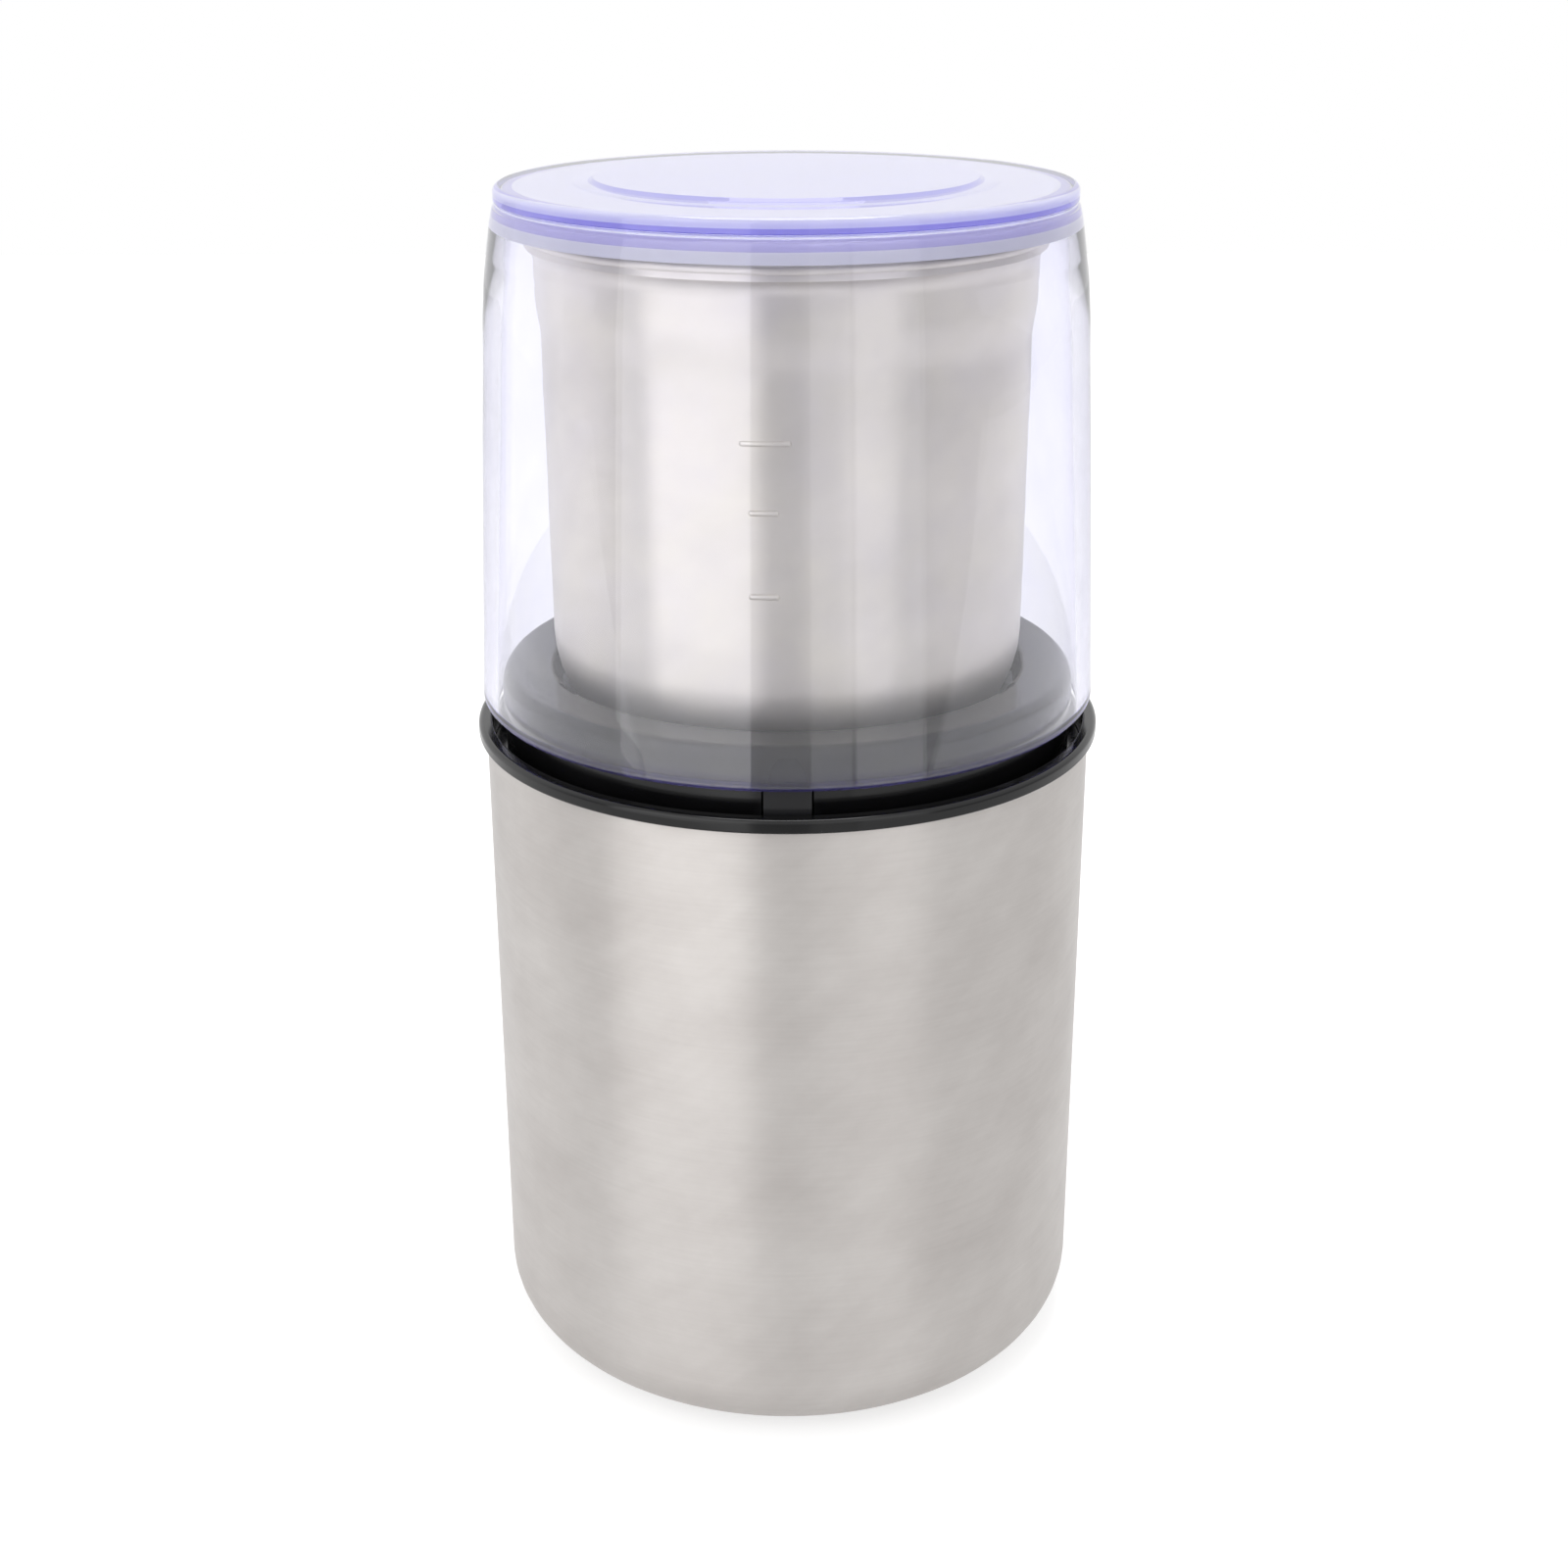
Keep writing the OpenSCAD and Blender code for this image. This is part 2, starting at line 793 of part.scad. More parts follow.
module drive_coupling() {
    color("#e8e6e0")
        difference() {
            union() {
                disc(coupling_r, drive_disc, drive_face);
                disc(6, drive_hub_bottom, drive_disc);
                coupling_ring(0, drive_face - eps, drive_tooth_top);
            }
            disc(shaft_r, drive_hub_bottom - cut, shaft_top);
        }
}

// ---- Cup ----

// The cup's bottom curve, and the step in its side, where the upper part widens to the rim
cup_curve = 19;
cup_taper = 0.3;
cup_step = 1;
cup_neck_r = cup_r + cup_taper + cup_step;
step_bottom = cup_rim - 16.8;
step_h = 7.6;
funnel_r = 3.4;
funnel_bottom = cup_rim - 5;

// Fill marks on the cup's front: heights above its bottom, and the ends of the strokes from left to right
full_mark = 56;
half_mark = 45.9;
quarter_mark = 33.3;
long_stroke = [-9, 1.2];
short_stroke = [-5, -0.9];

// Outline of the cup's steel, offset inwards by d from its outer face
function cup_side(d) = concat(
    arc(cup_r - cup_curve, cup_bottom + cup_curve, cup_curve - d, -90, 0, 12),
    [[cup_r + cup_taper - d, step_bottom]],
    [for (i = [1:5]) let (t = i / 6)
        [cup_r + cup_taper + cup_step * (1 - cos(180 * t)) / 2 - d, step_bottom + step_h * t]],
    [[cup_neck_r - d, step_bottom + step_h], [cup_neck_r - d, funnel_bottom]],
    arc(cup_neck_r + funnel_r, funnel_bottom, funnel_r + d, 180, 126, 4));

module cup_profile() {
    bead = 0.8;
    bead_x = cup_neck_r + 0.6;
    bead_y = cup_rim - bead;
    outer = cup_side(0);
    inner = cup_side(cup_wall);
    polygon(concat(
        [[hub_r + 0.1, cup_bottom]],
        outer,
        arc(bead_x, bead_y, bead, -45, 150, 8),
        [for (i = [len(inner) - 1:-1:0]) inner[i]],
        [[hub_r + 0.1, cup_bottom + cup_wall]]));
}

// A raised fill mark on the front of the cup, at a height above its bottom and between two ends
module fill_mark(height, ends) {
    proud = 0.35;
    half = 0.5;
    z = cup_bottom + height;
    intersection() {
        tube(cup_r - 0.2, cup_r + 0.2 + proud, z - 2, z + 2);
        translate([ends[0], 0, z])
            rotate([90, 0, 0])
                linear_extrude(height = 60) {
                    translate([0, -half])
                        square([ends[1] - ends[0], 2 * half]);
                    circle(r = half);
                    translate([ends[1] - ends[0], 0])
                        circle(r = half);
                }
    }
}

module grinding_cup() {
    color("#cfccc8") {
        rotate_extrude()
            cup_profile();
        fill_mark(full_mark, long_stroke);
        fill_mark(half_mark, short_stroke);
        fill_mark(quarter_mark, short_stroke);
    }
}

module cup_base() {
    skirt_r = 37.4;
    skirt_in = 35.4;
    skirt_bottom = bowl_floor + 0.05;
    floor_top = cup_bottom - 0.1;
    floor_under = floor_top - 2;
    well_r = 12;
    well_out = 14;
    lip_top = cup_bottom + 9.5;
    curve_r = cup_curve + 0.1;
    lip_angle = -30;
    color("#232325")
        difference() {
            union() {
                rotate_extrude()
                    polygon(concat(
                        [[bush_r, floor_under], [well_r, floor_under], [well_r, skirt_bottom],
                         [well_out, skirt_bottom], [well_out, floor_under], [skirt_in, floor_under],
                         [skirt_in, skirt_bottom], [skirt_r, skirt_bottom], [skirt_r, lip_top]],
                        arc(cup_r - cup_curve, cup_bottom + cup_curve, curve_r, lip_angle, -90, 8),
                        [[hub_r, floor_top], [hub_r, hub_top], [bush_r, hub_top]]));
                // Keys that slide down the seat's slots
                around(key_angles)
                    tube_bar(skirt_r - 0.5, 39.5, skirt_bottom + 1.7, floor_top, key_w);
                // Ribs between the well and the skirt
                around([for (i = [0:5]) 60 * i + 30])
                    translate([well_out - 0.5, -0.8, skirt_bottom + 2.5])
                        cube([skirt_in - well_out + 1, 1.6, floor_under - skirt_bottom - 2.4]);
            }
            disc(bush_r, skirt_bottom - cut, hub_top + cut);
        }
}

module hub_nut() {
    color("#b5b7ba")
        difference() {
            translate([0, 0, hub_nut_bottom])
                cylinder(r = 12, h = 3, $fn = 6);
            disc(hub_r, hub_nut_bottom - cut, hub_top);
        }
}

module hub_seal() {
    color("#4a4a4d")
        tube(hub_r, 11, cup_bottom + cup_wall, hub_nut_bottom);
}

module cup_bearing() {
    bush(driven_disc + 0.6, seal_bottom);
}

module shaft_seal() {
    color("#5a2320")
        tube(shaft_r + 0.06, bush_r, seal_bottom, seal_top);
}

// ---- Cutter ----

module driven_coupling() {
    color("#e8e6e0")
        difference() {
            union() {
                disc(coupling_r, driven_face, driven_disc);
                mirror([0, 0, 1])
                    coupling_ring(360 / coupling_teeth / 2, -driven_face - eps, -driven_tooth_bottom);
            }
            disc(shaft_r, driven_tooth_bottom - cut, driven_disc + cut);
        }
}

module thrust_washer() {
    color("#d8d9db")
        tube(shaft_r, 5.4, driven_disc, driven_disc + 0.5);
}

module blade_shaft() {
    color("#c8cacc")
        disc(shaft_r, blade_shaft_bottom, blade_shaft_top);
}

module blade_spacer() {
    color("#c8cacc")
        tube(shaft_r, 5, hub_top - 0.2, blade_z);
}

// One wing of the blade, bent up from its root and again near its tip, with its
// leading edge ground to a bevel
module blade_wing(rise, tip_rise) {
    knee = 13;
    half_root = 5.6;
    half_knee = 4.4;
    tip = blade_reach - blade_root - knee;
    translate([blade_root, 0, 0])
        rotate([0, -rise, 0])
            difference() {
                union() {
                    linear_extrude(height = blade_t)
                        polygon([[-0.4, -half_root], [knee, -half_knee], [knee, half_knee - 1], [-0.4, half_root]]);
                    translate([knee, 0, 0])
                        rotate([0, -tip_rise, 0])
                            linear_extrude(height = blade_t)
                                polygon(concat(
                                    [[-0.3, -half_knee], [tip - 5, -half_knee + 0.4]],
                                    arc(tip - 3.6, -0.4, 3.6, -60, 70, 6),
                                    [[-0.3, half_knee - 1]]));
                }
                translate([-1, -half_root - 0.4, blade_t * 0.3])
                    rotate([0, 0, 5.3])
                        rotate([30, 0, 0])
                            translate([0, -4, 0])
                                cube([40, 8, 8]);
            }
}

module blade() {
    color("#d2d4d6")
        difference() {
            translate([0, 0, blade_z]) {
                linear_extrude(height = blade_t)
                    intersection() {
                        square([2 * blade_root + 0.4, 11.2], center = true);
                        circle(r = blade_root + 0.2);
                    }
                blade_wing(3, 16);
                rotate([0, 0, 180])
                    blade_wing(13, 8);
            }
            disc(shaft_r, blade_z - 2 * cut, blade_z + 10);
        }
}

module blade_nut() {
    nut_bottom = blade_z + blade_t + 0.9;
    color("#c4c6c9")
        difference() {
            union() {
                disc(6.4, blade_z + blade_t, nut_bottom);
                translate([0, 0, nut_bottom])
                    cylinder(r = 5.6, h = 3.2, $fn = 6);
                translate([0, 0, nut_bottom + 1.4])
                    intersection() {
                        sphere(r = 4.5);
                        cylinder(r = 6, h = 6);
                    }
            }
            disc(shaft_r, blade_z, blade_shaft_top);
        }
}

// ---- Lid ----

module lid() {
    edge_in = 48;
    under = lid_top - 3;
    shoulder_z = 178.5;
    shoulder_r = 47.45;
    shoulder_in = 44.6;
    neck_r = lid_flange_r - 0.3;
    disc_r = 30;
    disc_rise = 0.8;
    flange_edge = 1;
    color("#e4e4fb", 0.35)
        rotate_extrude()
            polygon(concat(
                // Inside, from the centre down to the open edge
                [[0, under]],
                arc(40.6, under - 3.2, 3.2, 90, 20, 5),
                [[shoulder_in - 0.5, under - 8], [shoulder_in, shoulder_z], [edge_in, lid_edge + 0.2],
                 [edge_in + 0.1, lid_edge]],
                // Outside, from the open edge up to the flange
                [[lid_edge_r - 0.5, lid_edge], [lid_edge_r, lid_edge + 0.6], [shoulder_r, shoulder_z],
                 [46.95, 184.5], [46.3, 189.2], [45.7, 193], [45.25, 194.9], [neck_r, 195.3], [neck_r, 195.6],
                 [lid_flange_r, 195.9]],
                arc(lid_flange_r - flange_edge, lid_top - flange_edge, flange_edge, 0, 90),
                // Raised round field on the top
                [[disc_r + 3.5, lid_top], [disc_r, lid_top + disc_rise], [0, lid_top + disc_rise]]));
}

outer_sleeve();
trim_ring();
seat_collar();
housing_liner();
base_cover();
rubber_feet();
base_screws();
collar_screws();
cord_gland();
motor_plate();
motor_mounts();
motor_screws();
upper_bearing();
lower_bearing();
lower_bracket();
stator_core();
stator_coils();
stator_bolts();
brush_holders();
carbon_brushes();
brush_springs();
switch_body();
switch_lever();
switch_button();
push_ring();
push_springs();
motor_shaft();
armature_core();
armature_winding();
commutator();
cooling_fan();
drive_coupling();
grinding_cup();
cup_base();
hub_nut();
hub_seal();
cup_bearing();
shaft_seal();
driven_coupling();
thrust_washer();
blade_shaft();
blade_spacer();
blade();
blade_nut();
lid();
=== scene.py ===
import json
import math

import bmesh
import bpy
from mathutils import Matrix, Vector


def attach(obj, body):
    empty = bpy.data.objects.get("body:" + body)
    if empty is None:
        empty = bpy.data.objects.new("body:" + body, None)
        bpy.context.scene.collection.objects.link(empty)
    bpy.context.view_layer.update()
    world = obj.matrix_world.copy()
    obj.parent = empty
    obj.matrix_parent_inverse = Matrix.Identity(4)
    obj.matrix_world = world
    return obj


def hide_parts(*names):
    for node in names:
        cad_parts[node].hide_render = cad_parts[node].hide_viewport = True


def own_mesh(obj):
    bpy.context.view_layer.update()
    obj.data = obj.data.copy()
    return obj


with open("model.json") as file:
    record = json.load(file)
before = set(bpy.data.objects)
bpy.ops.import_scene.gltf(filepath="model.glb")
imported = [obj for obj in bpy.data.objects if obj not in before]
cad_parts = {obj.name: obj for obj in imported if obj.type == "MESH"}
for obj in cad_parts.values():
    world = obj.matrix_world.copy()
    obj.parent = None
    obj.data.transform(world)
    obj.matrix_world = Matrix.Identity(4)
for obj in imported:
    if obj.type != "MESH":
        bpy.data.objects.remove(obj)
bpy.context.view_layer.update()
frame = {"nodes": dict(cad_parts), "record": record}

print("frame loaded:", len(frame["nodes"]), "solids")

scene = bpy.context.scene


def mm(value):
    return value * 0.001


def hexColour(text):  # sRGB hex to the linear colour that shaders and lamps take
    channels = [int(text[i:i + 2], 16) / 255 for i in (1, 3, 5)]
    linear = [c / 12.92 if c <= 0.04045 else ((c + 0.055) / 1.055) ** 2.4 for c in channels]
    return (*linear, 1.0)


cameraLook = {
    "distance": 352.1,      # mm in front of the grinder's axis
    "height": 237.6,        # mm above the table
    "tilt": 0.3772,         # radians below level
    "roll": -0.0022,
    "focalPixels": 2264.8,  # for an image 1600 pixels wide
    "imageWidth": 1600,
    "centreShift": 3.63,    # pixels that the view sits to the right
    "sensorWidth": 36,      # mm
    "near": 0.01,           # metres
    "far": 50,
}


def makeCamera(look):
    data = bpy.data.cameras.new("studioCamera")
    data.sensor_width = look["sensorWidth"]
    data.lens = look["focalPixels"] * look["sensorWidth"] / look["imageWidth"]
    data.shift_x = -look["centreShift"] / look["imageWidth"]
    data.clip_start = look["near"]
    data.clip_end = look["far"]
    camera = bpy.data.objects.new("studioCamera", data)
    scene.collection.objects.link(camera)
    forward = Vector((0, math.cos(look["tilt"]), -math.sin(look["tilt"])))
    level = Vector((1, 0, 0))
    upward = level.cross(forward)
    c, s = math.cos(look["roll"]), math.sin(look["roll"])
    right = level * c + upward * s
    top = upward * c - level * s
    turn = Matrix((right, top, -forward)).transposed().to_4x4()
    camera.matrix_world = Matrix.Translation((0, mm(-look["distance"]), mm(look["height"]))) @ turn
    scene.camera = camera


makeCamera(cameraLook)
print("camera placed")


# Adds a node with its settings, and gives its inputs a value or a link. A Mix node's colours are its
# inputs 6 and 7 and its output 2, and its plain numbers are inputs 2 and 3. A Math node's numbers are
# inputs 0, 1 and 2
def addNode(tree, kind, inputs=None, **settings):
    node = tree.nodes.new(kind)
    for name, value in settings.items():
        setattr(node, name, value)
    for name, value in (inputs or {}).items():
        if isinstance(value, bpy.types.NodeSocket):
            tree.links.new(value, node.inputs[name])
        else:
            node.inputs[name].default_value = value
    return node


def startMaterial(name):
    material = bpy.data.materials.new(name)
    material.use_nodes = True
    tree = material.node_tree
    tree.nodes.clear()
    place = addNode(tree, "ShaderNodeTexCoord").outputs["Object"]
    return material, tree, place


# Noise whose features are size mm long in X, Y and Z
def grain(tree, place, size, detail=4.0, roughness=0.55):
    stretch = addNode(tree, "ShaderNodeMapping", {"Vector": place, "Scale": [1000 / s for s in size]})
    noise = addNode(tree, "ShaderNodeTexNoise", {
        "Vector": stretch.outputs["Vector"], "Scale": 1.0, "Detail": detail, "Roughness": roughness})
    return noise.outputs["Fac"]


noiseSpan = {"From Min": 0.3, "From Max": 0.7}  # where nearly all of a noise's values lie

studioLook = {
    "frontTone": 0.55,       # the room behind the camera, as metal and plastic mirror it
    "frontTo": 0.12,         # how far round that tone lasts, where 0 is the front and 1 the back
    "sideTone": 0.62,
    "backTone": 1.0,         # the sweep behind the grinder
    "backFrom": 0.75,        # where it starts
    "ceilingTone": 1.08,     # overhead
    "ceilingFrom": 0.12,     # how steep a direction is where the ceiling starts, 1 is upright
    "ceilingTo": 0.45,       # and where it is full
    "frontAngle": 14,        # degrees to the right that the darkest part of the room lies
    "floorColour": "#B4B4B4",
    "fibreColour": "#B7B7B7",
    "fibre": 1.2,            # mm
    "floorGlow": 0.62,       # what the floor adds where it is seen, so that it is white
    "mirrorGlow": 0.34,      # the same where metal or plastic mirrors it
    "floorFront": 0.29,      # metres from the grinder to the sheet's front edge, and to its other edges
    "floorReach": 1.3,
    "floorDrop": 0.05,       # mm under the feet
}

# Soft boxes: direction from the grinder in degrees (0 is the front, plus is right), distance, size and
# height in metres, and how bright the cloth looks, where 1 is white paper. The three at the front stand
# at the table's edge and reach below it, sidePanel stands beside the grinder, and topBox hangs over the
# lid and is aimed down
softBoxes = {
    "leftBox": {"angle": -37, "away": 0.45, "wide": 0.41, "tall": 0.86, "height": 0.32, "bright": 1.12},
    "rightBox": {"angle": 36, "away": 0.45, "wide": 0.2, "tall": 0.86, "height": 0.32, "bright": 0.6},
    "sidePanel": {"angle": -104, "away": 0.45, "wide": 0.3, "tall": 0.74, "height": 0.38, "bright": 0.2},
    "fillStrip": {"angle": 15, "away": 0.45, "wide": 0.11, "tall": 0.86, "height": 0.32, "bright": 0.35},
    "topBox": {
        "angle": 180, "away": 0.05, "wide": 0.3, "tall": 0.3, "height": 0.62, "aim": 0.1, "bright": 4.3},
}


def makeWorld(look):
    world = bpy.data.worlds.new("whiteStudio")
    scene.world = world
    world.use_nodes = True
    tree = world.node_tree
    tree.nodes.clear()
    direction = addNode(tree, "ShaderNodeTexCoord").outputs["Generated"]
    turned = addNode(tree, "ShaderNodeVectorRotate", {
        "Vector": direction, "Angle": math.radians(-look["frontAngle"])}, rotation_type="Z_AXIS")
    depth = addNode(tree, "ShaderNodeSeparateXYZ", {"Vector": turned.outputs["Vector"]}).outputs["Y"]
    backness = addNode(tree, "ShaderNodeMapRange", {"Value": depth, "From Min": -1.0, "From Max": 1.0})
    tone = addNode(tree, "ShaderNodeValToRGB", {"Fac": backness.outputs["Result"]})
    stops = [(0.0, look["frontTone"]), (look["frontTo"], look["frontTone"]),
             (0.5, look["sideTone"]), (look["backFrom"], look["backTone"])]
    ramp = tone.color_ramp
    while len(ramp.elements) < len(stops):
        ramp.elements.new(1.0)
    for element, (position, level) in zip(ramp.elements, stops):
        element.position = position
        element.color = (level, level, level, 1)
    rise = addNode(tree, "ShaderNodeSeparateXYZ", {"Vector": direction}).outputs["Z"]
    overhead = addNode(tree, "ShaderNodeMapRange", {
        "Value": rise, "From Min": look["ceilingFrom"], "From Max": look["ceilingTo"]})
    ceiling = (look["ceilingTone"],) * 3 + (1,)
    room = addNode(tree, "ShaderNodeMix", {
        0: overhead.outputs["Result"], 6: tone.outputs["Color"], 7: ceiling}, data_type="RGBA")
    # Straight sight lines, also those that only pass through the lid, meet plain white. A ray that
    # reaches the world counts one bounce more than it has made
    path = addNode(tree, "ShaderNodeLightPath")
    bounced = addNode(tree, "ShaderNodeMath", {
        0: path.outputs["Ray Depth"], 1: path.outputs["Transmission Depth"]}, operation="SUBTRACT")
    straight = addNode(tree, "ShaderNodeMath", {0: bounced.outputs[0], 1: 1.5}, operation="LESS_THAN")
    seen = addNode(tree, "ShaderNodeMix", {
        0: straight.outputs[0], 6: room.outputs[2], 7: (1, 1, 1, 1)}, data_type="RGBA")
    sky = addNode(tree, "ShaderNodeBackground", {"Color": seen.outputs[2], "Strength": 1.0})
    addNode(tree, "ShaderNodeOutputWorld", {"Surface": sky.outputs["Background"]})


def makeSoftBox(name, look):
    data = bpy.data.lights.new(name, "AREA")
    data.shape = "RECTANGLE"
    data.size = look["wide"]
    data.size_y = look["tall"]
    data.energy = look["bright"] * math.pi * look["wide"] * look["tall"]  # watts that make it so bright
    lamp = bpy.data.objects.new(name, data)
    scene.collection.objects.link(lamp)
    angle = math.radians(look["angle"])
    lamp.location = (math.sin(angle) * look["away"], -math.cos(angle) * look["away"], look["height"])
    aim = Vector((0, 0, look.get("aim", look["height"]))) - lamp.location
    lamp.rotation_euler = aim.to_track_quat("-Z", "Y").to_euler()
    lamp.visible_camera = False


def makeFloor(look):
    front, reach = -look["floorFront"], look["floorReach"]
    corners = [(-reach, front, 0), (reach, front, 0), (reach, reach, 0), (-reach, reach, 0)]
    mesh = bpy.data.meshes.new("paperFloor")
    mesh.from_pydata(corners, [], [(0, 1, 2, 3)])
    floor = bpy.data.objects.new("paperFloor", mesh)
    scene.collection.objects.link(floor)
    floor.location.z = mm(-look["floorDrop"])
    material, tree, place = startMaterial("mattWhitePaper")  # white paper sweep, soft shadows and no shine
    fibre = grain(tree, place, (look["fibre"],) * 3)
    colour = addNode(tree, "ShaderNodeMix", {
        0: fibre, 6: hexColour(look["floorColour"]), 7: hexColour(look["fibreColour"])}, data_type="RGBA")
    paper = addNode(tree, "ShaderNodeBsdfDiffuse", {"Color": colour.outputs[2]})
    path = addNode(tree, "ShaderNodeLightPath")
    seen = addNode(tree, "ShaderNodeMath", {
        0: path.outputs["Is Camera Ray"], 1: path.outputs["Is Transmission Ray"]}, operation="MAXIMUM")
    plain = addNode(tree, "ShaderNodeMath", {0: seen.outputs[0], 1: look["floorGlow"]}, operation="MULTIPLY")
    mirrored = addNode(tree, "ShaderNodeMath", {
        0: path.outputs["Is Glossy Ray"], 1: look["mirrorGlow"]}, operation="MULTIPLY")
    strength = addNode(tree, "ShaderNodeMath", {
        0: plain.outputs[0], 1: mirrored.outputs[0]}, operation="MAXIMUM")
    glow = addNode(tree, "ShaderNodeEmission", {"Strength": strength.outputs[0]})
    both = addNode(tree, "ShaderNodeAddShader", {0: paper.outputs[0], 1: glow.outputs[0]})
    addNode(tree, "ShaderNodeOutputMaterial", {"Surface": both.outputs[0]})
    mesh.materials.append(material)


makeWorld(studioLook)
for boxName, boxLook in softBoxes.items():
    makeSoftBox(boxName, boxLook)
makeFloor(studioLook)
scene.view_settings.view_transform = "Standard"
print("studio lit")


def brushedSteel(name, look):
    # Drawn stainless sheet, brushed round its axis: fine level lines, cloudy wiping marks and a soft
    # upright sheen
    material, tree, place = startMaterial(name)
    long, fine, cloud = look["grainLong"], look["grainFine"], look["cloud"]
    lines = grain(tree, place, (long, long, fine), detail=1.0)
    clouds = grain(tree, place, [cloud * share for share in look["cloudShape"]], detail=6.0, roughness=0.62)
    tilted = addNode(tree, "ShaderNodeVectorRotate", {
        "Vector": place, "Axis": (0, 1, 0), "Angle": look["wipeTilt"]}, rotation_type="AXIS_ANGLE")
    wipes = grain(tree, tilted.outputs["Vector"], [cloud * share for share in look["wipeShape"]], detail=3.0)
    soiled = addNode(tree, "ShaderNodeMix", {0: look["wipeShare"], 2: clouds, 3: wipes})
    marks = addNode(tree, "ShaderNodeMapRange", {
        "Value": soiled.outputs[0], "From Min": look["marksFrom"], "From Max": look["marksTo"]})
    shade = addNode(tree, "ShaderNodeMix", {
        0: look["lineShare"], 2: marks.outputs["Result"], 3: lines}).outputs[0]
    colour = addNode(tree, "ShaderNodeMix", {
        0: shade, 6: hexColour(look["dark"]), 7: hexColour(look["light"])}, data_type="RGBA")
    rough = addNode(tree, "ShaderNodeMapRange", {
        "Value": shade,
        "To Min": look["roughness"] + look["uneven"], "To Max": look["roughness"] - look["uneven"]})
    bump = addNode(tree, "ShaderNodeBump", {
        "Height": lines, "Strength": look["bump"], "Distance": mm(look["grainDepth"])})
    tangent = addNode(tree, "ShaderNodeTangent", direction_type="RADIAL", axis="Z")
    steel = addNode(tree, "ShaderNodeBsdfPrincipled", {
        "Base Color": colour.outputs[2], "Metallic": 1.0, "Roughness": rough.outputs["Result"],
        "Anisotropic": look["stretch"], "Anisotropic Rotation": 0.25, "Normal": bump.outputs["Normal"],
        "Tangent": tangent.outputs["Tangent"]})
    addNode(tree, "ShaderNodeOutputMaterial", {"Surface": steel.outputs["BSDF"]})
    return material


def mouldedPlastic(name, look):
    # Injection-moulded ABS, nylon or phenolic: a spark-eroded or polished skin, faint flow marks and
    # rubbed edges
    material, tree, place = startMaterial(name)
    skin = grain(tree, place, (look["texture"],) * 3, detail=2.0)
    flow = grain(tree, place, (look["flow"],) * 3, detail=3.0)
    mottle = addNode(tree, "ShaderNodeMapRange", noiseSpan | {"Value": flow})
    colour = addNode(tree, "ShaderNodeMix", {
        0: mottle.outputs["Result"], 6: hexColour(look["dark"]), 7: hexColour(look["light"])},
        data_type="RGBA")
    edges = addNode(tree, "ShaderNodeNewGeometry").outputs["Pointiness"]  # 0.5 on the flat, more on an edge
    wear = addNode(tree, "ShaderNodeMapRange", {
        "Value": edges, "From Min": look["wearFrom"], "From Max": look["wearTo"], "To Max": look["rub"]})
    shown = addNode(tree, "ShaderNodeMix", {
        0: wear.outputs["Result"], 6: colour.outputs[2], 7: hexColour(look.get("rubbed", look["light"]))},
        data_type="RGBA")
    rough = addNode(tree, "ShaderNodeMapRange", noiseSpan | {
        "Value": flow,
        "To Min": look["roughness"] - look["uneven"], "To Max": look["roughness"] + look["uneven"]})
    bump = addNode(tree, "ShaderNodeBump", {
        "Height": skin, "Strength": look["bump"], "Distance": mm(look["textureDepth"])})
    plastic = addNode(tree, "ShaderNodeBsdfPrincipled", {
        "Base Color": shown.outputs[2], "Roughness": rough.outputs["Result"], "IOR": look["ior"],
        "Normal": bump.outputs["Normal"]})
    addNode(tree, "ShaderNodeOutputMaterial", {"Surface": plastic.outputs["BSDF"]})
    return material


def softRubber(name, look):
    # Moulded rubber or silicone: matt, a little dusty and slightly mottled
    material, tree, place = startMaterial(name)
    dust = grain(tree, place, (look["dust"],) * 3, detail=5.0, roughness=0.7)
    skin = grain(tree, place, (look["skin"],) * 3, detail=2.0)
    mottle = addNode(tree, "ShaderNodeMapRange", noiseSpan | {"Value": dust})
    colour = addNode(tree, "ShaderNodeMix", {
        0: mottle.outputs["Result"], 6: hexColour(look["dark"]), 7: hexColour(look["light"])},
        data_type="RGBA")
    rough = addNode(tree, "ShaderNodeMapRange", noiseSpan | {
        "Value": dust,
        "To Min": look["roughness"] - look["uneven"], "To Max": look["roughness"] + look["uneven"]})
    bump = addNode(tree, "ShaderNodeBump", {
        "Height": skin, "Strength": look["bump"], "Distance": mm(look["skinDepth"])})
    rubber = addNode(tree, "ShaderNodeBsdfPrincipled", {
        "Base Color": colour.outputs[2], "Roughness": rough.outputs["Result"], "IOR": 1.52,
        "Normal": bump.outputs["Normal"]})
    addNode(tree, "ShaderNodeOutputMaterial", {"Surface": rubber.outputs["BSDF"]})
    return material


